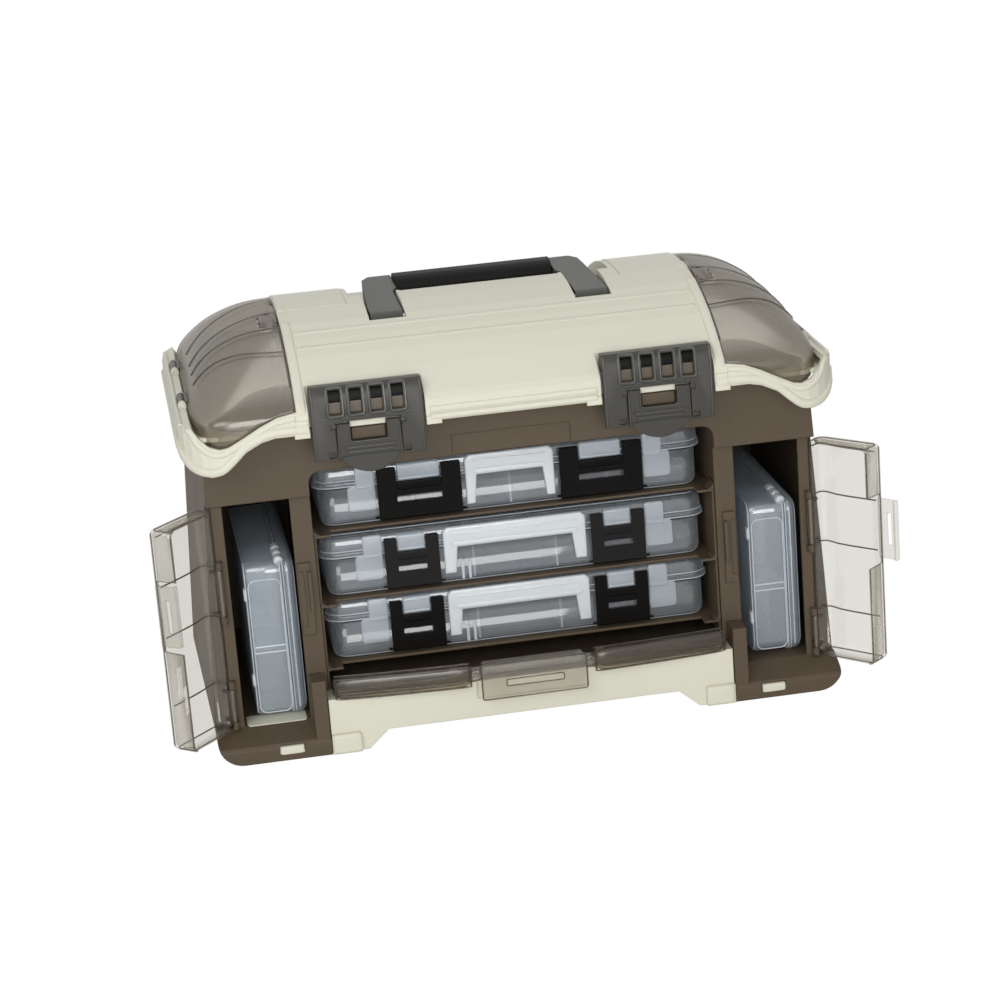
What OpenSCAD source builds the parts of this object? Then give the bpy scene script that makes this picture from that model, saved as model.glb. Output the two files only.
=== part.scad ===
// Fishing tackle cabinet: a housing with a rack of utility boxes, two side bays,
// a hinged lid with an end bin under each clear cover, and clear doors.
// X runs to the right, Y to the back and Z up. The origin is on the floor, in the middle.

/* [Utility boxes] */
// Half width of a rack box
ubox_half_w = 139.7; // [138:0.1:141]
// Depth of a rack box
ubox_d = 184; // [170:1:200]
// Height of a rack box
ubox_h = 44.5; // [40:0.5:46]
// Wall thickness of the boxes
ubox_wall = 1.6; // [1.2:0.1:2]
// Height from one rack box to the next
shelf_gap = 4.3; // [3.8:0.1:6]
// Space beside the rack boxes
rack_side_gap = 3.8; // [3:0.1:6]
// Height of a side box
sbox_h = 116; // [90:1:130]
// Depth of a side box
sbox_d = 155; // [150:1:190]

/* [Housing] */
// Width of the strip between the rack and a side bay
strip_w = 14.5; // [12:0.5:18]
// Width of a side bay
bay_w = 47; // [44:1:60]
// Width of the pillar outside a side bay
pillar_w = 21; // [19:0.5:24]
// Width lost on each side between the floor and the rim
body_draft = 13.5; // [8:0.5:15]
// Width gained on each side between the front and the back
body_flare = 4; // [0:0.5:5]
// Depth of the ledge in front of the upper face
ledge_d = 16; // [14:1:20]
// Height of the rim above the rack
rim_h = 34.5; // [30:0.5:40]
// Height of the face between the rack's top and the side bays' top
head_h = 17; // [14:1:24]
// Wall thickness of the housing
wall = 3; // [2:0.5:4]
// Floor of the side bays
side_floor_z = 21.5; // [18:0.5:24]

/* [Base] */
// Height of the base
base_h = 40; // [36:1:46]
// Height of the arch between the front feet
arch_h = 13; // [8:1:18]

/* [Lid] */
// Height of the lid above its edge
lid_rise = 64; // [56:1:80]
// How far the lid's corners reach down
lid_dip = 23; // [20:1:25]
// Wall thickness of the lid
lid_wall = 3; // [2:0.5:4]
// Wall thickness of the clear covers and doors
clear_wall = 2.2; // [1.5:0.1:2.5]

/* [Latches and handle] */
// Width of each lid latch
latch_w = 77; // [70:1:85]
// Length of the grip
grip_len = 116; // [104:1:130]
// Radius of the grip
grip_r = 9.8; // [8:0.1:10.5]
// Angle at which the handle lies back
handle_rise = 3; // [2.5:0.5:20]

/* [Doors] */
// Depth of a side door
door_d = 19; // [16:0.5:21]
// Angle at which the side doors stand open
door_open = 132; // [100:1:140]
// Depth of the front door's panel
front_panel_d = 178; // [150:1:200]

/* [Fits] */
// Gap between pieces that only lie on each other
seat_gap = 0.3; // [0.2:0.05:0.5]
// Radial running clearance of the pins
pin_gap = 0.05; // [0.02:0.01:0.09]
// Gap beside pieces that swing
side_gap = 0.5; // [0.4:0.1:0.8]

/* [Hidden] */
$fn = 48;
eps = 0.01;

brown = [0.44, 0.40, 0.345];
cream = [0.85, 0.84, 0.78];
dark_grey = [0.39, 0.385, 0.37];
black = [0.13, 0.13, 0.13];
smoke = [0.62, 0.60, 0.57, 0.55];
milky = [0.80, 0.84, 0.88, 0.6];
steel = [0.7, 0.7, 0.72];

// Widths, from the boxes outwards
rack_half_w = ubox_half_w + rack_side_gap;
base_half_w = rack_half_w + 2.3;
bay_in_x = rack_half_w + strip_w;
bay_out_x = bay_in_x + bay_w;
body_half_w = bay_out_x + pillar_w;
lid_half_w = body_half_w + 4;
cover_in_x = rack_half_w + 5.5;
sbox_w = bay_w - 11;
// Depths, from the boxes outwards
body_d = ubox_d + 36;
upper_face_y = 6 - body_d / 2;
back_y = 6 + body_d / 2;
lid_half_d = body_d / 2 + 20;
frame_face_y = upper_face_y + 5;
ledge_front_y = upper_face_y - ledge_d;
base_front_y = ledge_front_y + 2;
ubox_front_y = upper_face_y + 22;
// Heights, from the base upwards
ubox_pitch = ubox_h + shelf_gap;
ubox_z0 = base_h + 17;
rack_top_z = ubox_z0 + 3 * ubox_pitch - 0.4;
bay_top_z = rack_top_z - head_h;
rim_top_z = rack_top_z + rim_h;
lid_edge_z = rim_top_z - 0.5;
lid_corner_z = lid_edge_z - lid_dip;
crown_z = lid_edge_z + lid_rise;
latch_x = cover_in_x - 9.5 - latch_w / 2;
// Housing
corner_r = 18;
far = 400;
deck_z = rack_top_z;
slot_x = [bay_in_x + 8, bay_in_x + 24.4];
slot_z = [4.2, 11.2];
inner_wall_out = rack_half_w + wall;
bay_wall_in = bay_in_x - wall;
post_top_z = 55;
ledge_top_z = 12.5;
// Rack
ledge_w = 12;
ledge_t = 1.8;
// the two lower boxes sit close together
function ubox_z(i) = [ubox_z0 - 1, ubox_z0 + ubox_h + seat_gap + ledge_t - 0.6, ubox_z0 + 2 * ubox_pitch][i];
// Places on the lid, given as on a lid of 81 mm ends, 130 mm half depth, 64 mm rise and 23 mm dip
function lx(t) = cover_in_x + t * (lid_half_w - cover_in_x) / 81;
function ly(t) = lid_half_d - t * lid_half_d / 130;
function lz(t) = lid_edge_z + t * lid_rise / 64;
function lc(t) = lid_corner_z + t * lid_dip / 23;
// Lid hinge
hinge_y = back_y + 10;
hinge_z = rim_top_z - 6.5;
hinge_r = 4.5;
pin_r = 1.6;
hinge_xs = [-bay_in_x + 8, 0, bay_in_x - 8];
// Latch
latch_back_y = -lid_half_d + 2.7;
latch_t = 3.2;
latch_axis_y = -lid_half_d + 7;
latch_axis_z = lid_edge_z + 23.5;
latch_top_z = latch_axis_z + 8;
latch_bottom_z = lid_edge_z - 20;
recess_y = latch_axis_y + 10;
flap_w = 43.5;
flap_top_z = lid_edge_z + 6;
flap_axis_z = flap_top_z - 2.6;
flap_axis_y = latch_back_y - latch_t / 2;
flap_pin_r = 1.1;
notch_w = 25.5;
notch_z = lid_edge_z - 8;
catch_w = 23;
// Handle
handle_y = -45;
handle_z = crown_z - 10;
handle_pin_r = 3;
arm_in_x = grip_len / 2 + 4;
arm_out_x = arm_in_x + 23;
arm_t = 12;
grip_u = 81;
arm_len = 95;
grip_core_r = 5;
recess_half_x = arm_out_x + 10;
handle_floor_z = handle_z - arm_t / 2 - 0.5;
// Covers
cover_axis_x = lx(74);
cover_axis_z = lz(13.5);
cover_knuckle_r = 3;
cover_pin_r = 1.2;
cover_knuckles = [-50, 50];
knuckle_half = 12;
cover_gap = 1;
bin_out_x = lx(59);
bin_half_d = lid_half_d - 12;
post_ys = [-45, -24];
// Doors
door_axis_x = bay_out_x + 6.5;
door_w = bay_w + 5;
door_axis_y = frame_face_y - 3.5;
door_knuckle_r = 3;
door_pin_r = 1.4;
door_z = [side_floor_z + 1, bay_top_z - 2];
door_knuckles = [[side_floor_z + 6, side_floor_z + 30], [side_floor_z + 84.5, side_floor_z + 118.5]];
door_lug = 5.5;
door_front = door_axis_y + 3 - door_d;
pocket_y = door_axis_y + side_gap
    + max(-0.5 * sin(door_open) - (door_d - 4.5) * cos(door_open), sin(door_open) - (door_d - 8) * cos(door_open),
        -4 * sin(door_open) - (door_d - 3) * cos(door_open));
pocket_x = door_axis_x + 1.2;
door_far_x = door_axis_x + 1 - door_w;
tab_z = [side_floor_z + 77.5, side_floor_z + 121.5];
tab_len = 13.5;
// Front door
panel_z = base_h + 4;
lip_z = [base_h - 1.5, post_top_z - 0.5];
lip_bow = 9;

// Shapes drawn in one plane and pushed along the third axis
module along_x(x0, x1) translate([x0, 0, 0]) rotate([90, 0, 90]) linear_extrude(x1 - x0) children();
module along_y(y0, y1) translate([0, y1, 0]) rotate([90, 0, 0]) linear_extrude(y1 - y0) children();
module along_z(z0, z1) translate([0, 0, z0]) linear_extrude(z1 - z0) children();
module block(x, y, z) translate([x[0], y[0], z[0]]) cube([x[1] - x[0], y[1] - y[0], z[1] - z[0]]);
module rod_x(x0, x1, y, z, r) translate([x0, y, z]) rotate([0, 90, 0]) cylinder(h = x1 - x0, r = r);
module rod_y(y0, y1, x, z, r) translate([x, y1, z]) rotate([90, 0, 0]) cylinder(h = y1 - y0, r = r);
module both() { children(); mirror([1, 0, 0]) children(); }
module sided(s) { if (s < 0) mirror([1, 0, 0]) children(); else children(); }
function arc(c, r, a0, a1, n) = [for (i = [0 : n]) let(a = a0 + (a1 - a0) * i / n) c + r * [cos(a), sin(a)]];
function flip(p) = [for (i = [len(p) - 1 : -1 : 0]) [-p[i][0], p[i][1]]];

module round_rect(w, h, r) {
    hull_pts = concat(arc([w - r, h - r], r, 0, 90, 6), arc([r, h - r], r, 90, 180, 6),
        arc([r, r], r, 180, 270, 6), arc([w - r, r], r, 270, 360, 6));
    polygon(hull_pts);
}

// The housing's outside, with its sides moved in by inset
module body_sides(inset) {
    both()
        translate([body_half_w - inset, upper_face_y, 12])
            rotate([0, -atan(body_draft / rim_top_z), 0])
                rotate([0, 0, -atan(body_flare / (back_y - upper_face_y))])
                    translate([0, -far, -far])
                        cube([far, 2 * far, 2 * far]);
}

module body_front_outline(inset) {
    half = concat(arc([body_half_w - corner_r, corner_r], corner_r - inset, -90, 0, 8),
        [[body_half_w + body_flare + 5, corner_r], [body_half_w + body_flare + 5, rim_top_z]]);
    polygon(concat(half, flip(half)));
}

// What lies inside the rounded lower corners, open below
module corner_hollow() {
    half = concat([[body_half_w - corner_r, -2]], arc([body_half_w - corner_r, corner_r], corner_r - wall, -90, 0, 8),
        [[body_half_w + body_flare + 5, corner_r], [body_half_w + body_flare + 5, rim_top_z]]);
    along_y(-far, far) polygon(concat(half, flip(half)));
}

module body_side_outline() {
    polygon([[ledge_front_y, 0], [ledge_front_y, ledge_top_z - 2.5], [ledge_front_y + 2, ledge_top_z],
        [frame_face_y, side_floor_z], [frame_face_y, bay_top_z], [upper_face_y, bay_top_z],
        [upper_face_y, rim_top_z], [back_y, rim_top_z], [back_y, 0]]);
}

module body_form() {
    intersection() {
        along_x(-far, far) body_side_outline();
        difference() {
            along_y(ledge_front_y, back_y) body_front_outline(0);
            body_sides(0);
        }
    }
}

module side_cavity(y, z) {
    difference() {
        block([inner_wall_out, far / 1.5], y, z);
        body_sides(wall);
    }
}

module lid_knuckle(x0, x1) {
    rod_x(x0, x1, hinge_y, hinge_z, hinge_r);
}

module housing() color(brown) {
    difference() {
        union() {
            body_form();
            // posts beside the base
            both() block([base_half_w + 0.7, bay_in_x - 1.5], [ledge_front_y + 1, frame_face_y + 1], [0, post_top_z]);
            // catches for the lid latches
            both() block([latch_x - catch_w / 2, latch_x + catch_w / 2],
                [latch_back_y + side_gap, upper_face_y + 1], [notch_z + 0.5, rim_top_z]);
            // hinge lugs of the side doors
            both() for (k = door_knuckles) for (z = [k[0] - door_lug - seat_gap, k[1] + seat_gap]) {
                translate([door_axis_x, door_axis_y, z]) cylinder(h = door_lug, r = door_knuckle_r);
                block([door_axis_x - door_knuckle_r, pocket_x], [door_axis_y, frame_face_y + 1], [z, z + door_lug]);
            }
            // lid hinge knuckles
            for (x = hinge_xs) for (s = [-1, 1]) {
                lid_knuckle(x + s * 15 - 5, x + s * 15 + 5);
                block([x + s * 15 - 5, x + s * 15 + 5], [back_y - 1, hinge_y], [hinge_z - hinge_r, hinge_z + hinge_r]);
            }
        }
        // rack bay and the space for the base
        along_y(-far, back_y - wall) translate([-rack_half_w, base_h - 20]) round_rect(2 * rack_half_w, rack_top_z - base_h + 20, 8);
        block([-base_half_w - seat_gap, base_half_w + seat_gap], [-far, back_y - wall], [-1, base_h + 2 * seat_gap]);
        both() {
            // side bays, the space under them and the hollow divider
            difference() {
                side_cavity([frame_face_y + wall, back_y - wall], [side_floor_z, rack_top_z - wall]);
                block([pocket_x - wall, far], [-far, pocket_y + wall], [0, bay_top_z + wall]);
            }
            block([bay_in_x, bay_out_x], [-far, frame_face_y + wall + 1], [side_floor_z, bay_top_z]);
            intersection() {
                side_cavity([frame_face_y, back_y - wall], [-1, side_floor_z - wall]);
                corner_hollow();
            }
            difference() {
                intersection() {
                    block([base_half_w + 3.5, far / 1.5], [ledge_front_y + wall, frame_face_y + 1], [-1, ledge_top_z - wall]);
                    corner_hollow();
                }
                body_sides(wall);
            }
            // slot for the base's tongue and its snap tab
            block(slot_x - [0.5, -0.5], [-far, ledge_front_y + 10], slot_z);
            block([base_half_w, slot_x[0]], [ledge_front_y + wall + 0.5, ledge_front_y + 12], slot_z);
            // room for the hinge side of the open door
            block([pocket_x, far], [-far, pocket_y], [side_floor_z, bay_top_z]);
            // hinge pin bores
            for (k = door_knuckles)
                translate([door_axis_x, door_axis_y, k[0] - door_lug - 1])
                    cylinder(h = k[1] - k[0] + 2 * door_lug + 2, r = door_pin_r + pin_gap);
        }
        // storage above the bays
        difference() {
            block([-far / 1.5, far / 1.5], [upper_face_y + wall, back_y - wall], [rack_top_z + wall, far]);
            body_sides(wall);
        }
        // seat for the tab of the front door
        block([-42, 42], [upper_face_y - 1, upper_face_y + 1.4], [rack_top_z - 1, rack_top_z + 15]);
        // lid hinge pins
        for (x = hinge_xs) rod_x(x - 21, x + 21, hinge_y, hinge_z, pin_r + pin_gap);
    }
}

module base() color(cream) {
    deck_t = 3;
    foot_x = 125;
    difference() {
        block([-base_half_w, base_half_w], [base_front_y, back_y - wall - seat_gap], [0, base_h]);
        block([-base_half_w + 3, base_half_w - 3], [base_front_y + 3, back_y - wall - 3.5], [3, base_h - deck_t]);
        block([-base_half_w + 3, base_half_w - 3], [base_front_y + 3, base_front_y + 58], [-1, 4]);
        // arch between the front feet
        along_y(base_front_y - 1, base_front_y + 4)
            polygon(concat([[-foot_x + 4, -1]], [[-foot_x + 20, arch_h], [foot_x - 20, arch_h]], [[foot_x - 4, -1]]));
        // recess behind the front door's tab
        block([-40, 40], [base_front_y - 1, base_front_y + 1], [27, base_h + 1]);
    }
    both() {
        // foot blocks stand a little proud
        block([foot_x, base_half_w], [base_front_y - 3.2, base_front_y + 1], [0, 14]);
        // tongue with its snap tab
        block([base_half_w - 1, slot_x[1]], [ledge_front_y + wall + 1, ledge_front_y + wall + 5], [slot_z[0] + 0.6, slot_z[1] - 0.6]);
        block([slot_x[0], slot_x[1]], [ledge_front_y - 0.6, ledge_front_y + wall + 2], [slot_z[0] + 0.6, slot_z[1] - 0.6]);
    }
}

// Ledges that carry the rack boxes, one moulding on each side joined by the front bars
module box_rack() color(brown) {
    y1 = back_y - wall - seat_gap;
    x1 = rack_half_w - seat_gap;
    for (i = [0 : 2]) {
        z = ubox_z(i) - seat_gap;
        both() block([x1 - ledge_w, x1], [frame_face_y + 2, y1], [z - ledge_t, z]);
        block([-x1, x1], [ubox_front_y - 4, ubox_front_y + 12], [z - ledge_t, z]);
        block([-x1, x1], [y1 - 12, y1], [z - ledge_t, z]);
    }
    both() block([x1 - 1.6, x1], [frame_face_y + 2, y1], [base_h + 2 * seat_gap, ubox_z(2)]);
}

module catch_plate() color(brown) {
    y = [frame_face_y - 2, frame_face_y];
    difference() {
        union() {
            block([bay_wall_in - 7, bay_in_x - 1], y, [tab_z[0] - 15, tab_z[1] - 6]);
            block([bay_wall_in - 7, bay_wall_in - 4.5], [frame_face_y - 5, frame_face_y - 1], [tab_z[0] + 2, tab_z[1] - 12]);
        }
        block([bay_wall_in - 2, bay_in_x], [frame_face_y - 3, frame_face_y - 1], [tab_z[0] - 9, tab_z[1] - 12]);
    }
}

module door_pins() color(steel)
    for (k = door_knuckles)
        translate([door_axis_x, door_axis_y, k[0] - door_lug])
            cylinder(h = k[1] - k[0] + 2 * door_lug, r = door_pin_r);

// Lid
function lid_front_half() = concat(
    [[lx(16), lid_edge_z], [lx(25), lc(21)], [lx(37), lc(15)], [lx(46), lc(7)], [lx(53), lc(1.5)], [lx(61), lid_corner_z],
        [lx(71), lc(2.5)], [lx(78), lc(9)]],
    lid_dome_half());
function lid_dome_half() = concat(
    [[lid_half_w, lc(18)], [lid_half_w, lz(7)], [lx(79.5), lz(10)], [lx(75.5), lz(11.5)]],
    [for (i = [0 : 8]) [lx(dome_x[i]), lz(dome_z[i])]],
    [[cover_in_x - 1, crown_z]]);
// The dome of an end: across, up, and the two measures of its plan at that height
dome_x = [71.5, 70.5, 67.5, 62, 55, 46, 35, 22, 8];
dome_z = [12, 17, 26, 35, 43, 50, 56, 60.5, 63.4];
dome_y = [0.5, 2.5, 12, 24, 38, 54, 71, 90, 112];
dome_n = [8, 7, 5, 4, 3.5, 3.2, 3, 2.8, 2.6];
// How far the dome reaches in direction t, seen from above
function dome_reach(i, t) =
    let(q = dome_n[i] / (dome_n[i] - 1))
    cover_in_x * cos(t) + pow(pow((lx(dome_x[i]) - cover_in_x) * cos(t), q) + pow(ly(dome_y[i]) * sin(t), q), 1 / q);
function dome_edge(t) = concat(
    [[far, 0], [far, lz(11.5)]], [for (i = [0 : 8]) [dome_reach(i, t), lz(dome_z[i])]], [[cover_in_x * cos(t) + 10, crown_z + 2]]);
module lid_corners(inset) {
    intersection_for (t = [32, 52, 70])
        intersection() {
            rotate([0, 0, t]) along_y(-far, far) offset(delta = -inset) polygon(concat(dome_edge(t), flip(dome_edge(t))));
            rotate([0, 0, -t]) along_y(-far, far) offset(delta = -inset) polygon(concat(dome_edge(t), flip(dome_edge(t))));
        }
}
function lid_side_half() = [
    [lid_half_d, 0], [lid_half_d, lz(15)], [ly(3), lz(19)], [ly(13), lz(27)], [ly(24), lz(35)], [ly(40), lz(44)],
    [ly(58), lz(51.5)], [ly(80), lz(58.5)], [ly(104), lz(63)], [ly(120), crown_z]];
module lid_plan(r) translate([-lid_half_w, -lid_half_d]) round_rect(2 * lid_half_w, 2 * lid_half_d, r);

// The lid's outside, moved in by inset and open below when inset is not 0
module lid_form(inset) {
    intersection() {
        along_y(-far, far) offset(delta = -inset) polygon(concat(lid_front_half(), flip(lid_front_half())));
        along_x(-far, far) offset(delta = -inset) polygon(concat(lid_side_half(), flip(lid_side_half())));
        along_z(0, far) offset(delta = -inset) lid_plan(30);
        lid_corners(inset);
    }
}
module lid_hollow() {
    intersection() {
        along_y(-far, far)
            offset(delta = -lid_wall)
                polygon(concat([[lid_half_w, lid_corner_z - 60]], lid_dome_half(), flip(lid_dome_half()),
                    [[-lid_half_w, lid_corner_z - 60]]));
        along_x(-far, far) offset(delta = -lid_wall) polygon(concat(lid_side_half(), flip(lid_side_half())));
        along_z(0, far) offset(delta = -lid_wall) lid_plan(30);
        lid_corners(lid_wall);
    }
}

// Opening of an end cover, seen from the front, with its edge moved in by gap
module cover_window(gap) {
    offset(delta = -gap)
        polygon([[cover_in_x, lz(16)], [lx(13), lz(14)], [lx(25), lz(9)], [lx(39), lz(1.5)], [lx(48), lc(20)], [lx(54), lc(19)],
            [lx(61), lc(21.5)], [lx(67), lz(4)], [lx(71.5), lz(11)], [lx(71.5), far], [cover_in_x, far]]);
}

module lid_shell() color(cream) {
    difference() {
        union() {
            difference() {
                lid_form(0);
                lid_hollow();
                // end cover openings
                both() along_y(-far, far) cover_window(0);
                // latch recesses
                both() block([latch_x - latch_w / 2 - 1.5, latch_x + latch_w / 2 + 1.5], [-far, recess_y], [0, far]);
                // the rim is cut away above the back hinge
                block([-far, far], [lid_half_d - 38, far], [0, lid_edge_z]);
            }
            intersection() {
                lid_form(0);
                union() {
                    // seat flange
                    difference() {
                        block([-far, far], [-far, far], [rim_top_z + seat_gap, rim_top_z + seat_gap + 3]);
                        block([-cover_in_x + 4, cover_in_x - 4], [upper_face_y + 8, back_y - 8], [0, far]);
                        both() block([cover_in_x + 4, bin_out_x - 4], [upper_face_y + 8, back_y - 8], [0, far]);
                        difference() {
                            both() along_y(-far, far) cover_window(-seat_gap);
                            lid_form(cover_gap + clear_wall + 1.5);
                        }
                        both() block([latch_x - latch_w / 2 - 1.5, latch_x + latch_w / 2 + 1.5], [-far, recess_y], [0, far]);
                    }
                    both() {
                        // wall between the middle and the end bin
                        block([cover_in_x - 3, cover_in_x], [-far, far], [rim_top_z + seat_gap, far]);
                        // back of the latch recess and its side walls
                        block([latch_x - latch_w / 2 - 4, latch_x + latch_w / 2 + 4], [recess_y, recess_y + 2.5],
                            [rim_top_z + seat_gap, far]);
                        for (x = [latch_x - latch_w / 2 - 4, latch_x + latch_w / 2 + 1.5])
                            block([x, x + 2.5], [-far, recess_y + 1], [lid_edge_z, far]);
                    }
                }
            }
            // step tabs at the ends of the rim beside each latch
            both() for (x = [[latch_x - latch_w / 2 - 12, latch_x - latch_w / 2 - 1.5], [latch_x + latch_w / 2 + 1.5, latch_x + latch_w / 2 + 12]])
                block(x, [-lid_half_d - 1.2, -lid_half_d + 2], [lid_edge_z - 2.2, lid_edge_z + 3.5]);
            // hinge knuckles with their webs
            for (x = hinge_xs) {
                lid_knuckle(x - 9.7, x + 9.7);
                along_x(x - 9.7, x + 9.7)
                    polygon([[hinge_y - hinge_r, hinge_z], [hinge_y + hinge_r, hinge_z], [lid_half_d, lid_edge_z + 6],
                        [lid_half_d - 2.5, lid_edge_z + 6]]);
            }
            // lugs of the end covers
            both() for (k = cover_knuckles) for (s = [-1, 1]) {
                y0 = k + s * (knuckle_half + seat_gap + 2) - 2;
                rod_y(y0, y0 + 4, cover_axis_x, cover_axis_z, cover_knuckle_r);
                block([cover_axis_x - cover_knuckle_r, cover_axis_x + 2.2], [y0, y0 + 4], [lz(8), cover_axis_z]);
            }
            // steps along the crown
            intersection() {
                lid_form(-0.8);
                both() block([recess_half_x + 4, cover_in_x - 1], [-25, 44], [crown_z - 14, far]);
            }
        }
        // handle recess, with a slot for each arm
        difference() {
            union() {
                block([-recess_half_x, recess_half_x], [-2, far], [handle_floor_z, far]);
                both() block([arm_in_x - 1.5, arm_out_x + 1.5], [handle_y - 10, 0], [handle_floor_z, far]);
            }
            both() block([recess_half_x, far], [-far, far], [0, far]);
        }
        both() rod_x(arm_in_x - 9, arm_in_x, handle_y, handle_z, handle_pin_r + pin_gap);
        both() for (k = cover_knuckles)
            rod_y(k - knuckle_half - 6, k + knuckle_half + 6, cover_axis_x, cover_axis_z, cover_pin_r + pin_gap);
        // notches for the knuckles of the end covers
        both() for (k = cover_knuckles)
            block([cover_axis_x - 9, far], [k - knuckle_half - seat_gap, k + knuckle_half + seat_gap],
                [cover_axis_z - cover_knuckle_r - 0.6, far]);
        for (x = hinge_xs) rod_x(x - 21, x + 21, hinge_y, hinge_z, pin_r + pin_gap);
    }
    // floor of the handle recess and the bosses of its pins
    floor_z = handle_floor_z - 2.5;
    difference() {
        union() {
            intersection() {
                lid_form(0);
                block([-recess_half_x - 2.5, recess_half_x + 2.5], [handle_y - 12.5, lid_half_d - 24], [floor_z, handle_floor_z]);
            }
            intersection() {
                lid_form(0);
                union() {
                    both() block([arm_in_x - 4, arm_in_x - 1.5], [handle_y - 12.5, 0.5], [floor_z, far]);
                    both() block([recess_half_x, recess_half_x + 2.5], [-4.5, lid_half_d], [floor_z, far]);
                    both() block([arm_out_x + 1.5, arm_out_x + 4], [handle_y - 12.5, -2], [floor_z, far]);
                    both() block([arm_out_x + 1.5, recess_half_x + 2.5], [-4.5, -2], [floor_z, far]);
                    block([-arm_in_x + 1.5, arm_in_x - 1.5], [-4.5, -2], [floor_z, far]);
                    both() block([arm_in_x - 4, arm_out_x + 4], [handle_y - 12.5, handle_y - 10], [floor_z, far]);
                }
            }
            both() rod_x(arm_in_x - 9, arm_in_x - 1.5, handle_y, handle_z, handle_pin_r + 2.2);
        }
        both() rod_x(arm_in_x - 10, arm_in_x, handle_y, handle_z, handle_pin_r + pin_gap);
    }
}

module lid_hinge_pins() color(steel)
    for (x = hinge_xs) rod_x(x - 20, x + 20, hinge_y, hinge_z, pin_r);

module cover_pins() color(steel)
    for (k = cover_knuckles)
        rod_y(k - knuckle_half - 4, k + knuckle_half + 4, cover_axis_x, cover_axis_z, cover_pin_r);

module bin_plan(inset, z0, z1) {
    intersection() {
        along_z(z0, z1)
            translate([bin_out_x - 160 + inset, -bin_half_d + inset])
                round_rect(160 - 2 * inset, 2 * bin_half_d - 2 * inset, 28 - inset);
        block([cover_in_x + seat_gap + inset, far], [-far, far], [0, 2 * far]);
    }
}

// Bin under an end cover, with the post that its cover snaps on to
module bin() color(brown) {
    z0 = rim_top_z + 2 * seat_gap + 3;
    z1 = lid_edge_z + 20;
    x0 = cover_in_x + seat_gap;
    difference() {
        intersection() {
            lid_form(4.2);
            bin_plan(0, z0, z1);
        }
        intersection() {
            lid_form(6.2);
            bin_plan(2, z0 + 2, far);
        }
    }
    block([x0, x0 + 2], [post_ys[0] - 4, post_ys[1] + 4], [z1 - 1, crown_z - 9]);
    block([x0, x0 + 10], post_ys, [crown_z - 16, crown_z - 9]);
}

module latch_mount() color(brown) {
    half = latch_w / 2 - 5;
    difference() {
        union() {
            block([latch_x - half, latch_x + half], [latch_back_y + 1, latch_axis_y + 4], [lid_edge_z + 9, latch_axis_z - 4.5]);
            block([latch_x - half, latch_x + half], [latch_axis_y, recess_y - seat_gap], [lid_edge_z + 9, latch_axis_z - 8]);
            for (x = [latch_x - 14.4, latch_x + 14.4]) {
                rod_x(x - 1.7, x + 1.7, latch_axis_y, latch_axis_z, 3.4);
                block([x - 1.7, x + 1.7], [latch_axis_y - 3.2, latch_axis_y + 3.2], [latch_axis_z - 6, latch_axis_z]);
            }
        }
        rod_x(latch_x - half, latch_x + half, latch_axis_y, latch_axis_z, pin_r + pin_gap);
    }
}

module latch_pin() color(steel)
    rod_x(latch_x - latch_w / 2 + 0.5, latch_x + latch_w / 2 - 0.5, latch_axis_y, latch_axis_z, pin_r);

module latch() color(dark_grey) {
    front_y = latch_back_y - latch_t;
    hw = latch_w / 2;
    window = 7;
    difference() {
        union() {
            // face and cap
            along_x(latch_x - hw, latch_x + hw)
                polygon([[latch_back_y, latch_bottom_z], [front_y + 0.6, latch_bottom_z], [front_y, latch_bottom_z + 1],
                    [front_y, latch_axis_z + 2], [front_y + 2.5, latch_top_z - 1.5], [front_y + 5, latch_top_z],
                    [latch_axis_y + 3.5, latch_top_z], [latch_axis_y + 3.5, latch_top_z - 2.8],
                    [latch_back_y + 1.5, latch_top_z - 2.8], [latch_back_y, latch_axis_z + 2.5]]);
            // cheeks round the pin
            for (x = [latch_x - hw, latch_x + hw - 3.5]) {
                rod_x(x, x + 3.5, latch_axis_y, latch_axis_z, 4.6);
                block([x, x + 3.5], [latch_back_y - 1, latch_axis_y], [latch_axis_z - 4.6, latch_axis_z + 6]);
            }
            // frames round the windows
            for (i = [-1.5 : 1 : 1.5]) let(x = latch_x + i * 14.4)
                block([x - window / 2 - 1.8, x + window / 2 + 1.8], [front_y - 0.9, front_y + 1], [lid_edge_z + 8.5, latch_axis_z + 4]);
            // bosses of the flap's pivot
            for (x = [latch_x - flap_w / 2 - 4, latch_x + flap_w / 2 + side_gap])
                rod_x(x, x + 3.5, flap_axis_y, flap_axis_z, 2.6);
        }
        for (i = [-1.5 : 1 : 1.5]) let(x = latch_x + i * 14.4)
            block([x - window / 2, x + window / 2], [front_y - 3, latch_back_y + 1], [lid_edge_z + 10.5, latch_axis_z + 3]);
        // opening for the flap
        block([latch_x - flap_w / 2 - side_gap, latch_x + flap_w / 2 + side_gap],
            [-far, latch_back_y + 1], [0, flap_top_z + 0.6]);
        // holes beside the foot of the flap
        for (s = [-1, 1])
            block([latch_x + s * (flap_w / 2 + 2) - 3, latch_x + s * (flap_w / 2 + 2) + 3],
                [front_y - 1, latch_back_y + 1], [latch_bottom_z + 0.8, latch_bottom_z + 5]);
        rod_x(0, far, latch_axis_y, latch_axis_z, pin_r + pin_gap);
        rod_x(0, far, flap_axis_y, flap_axis_z, flap_pin_r + pin_gap);
    }
}

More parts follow.
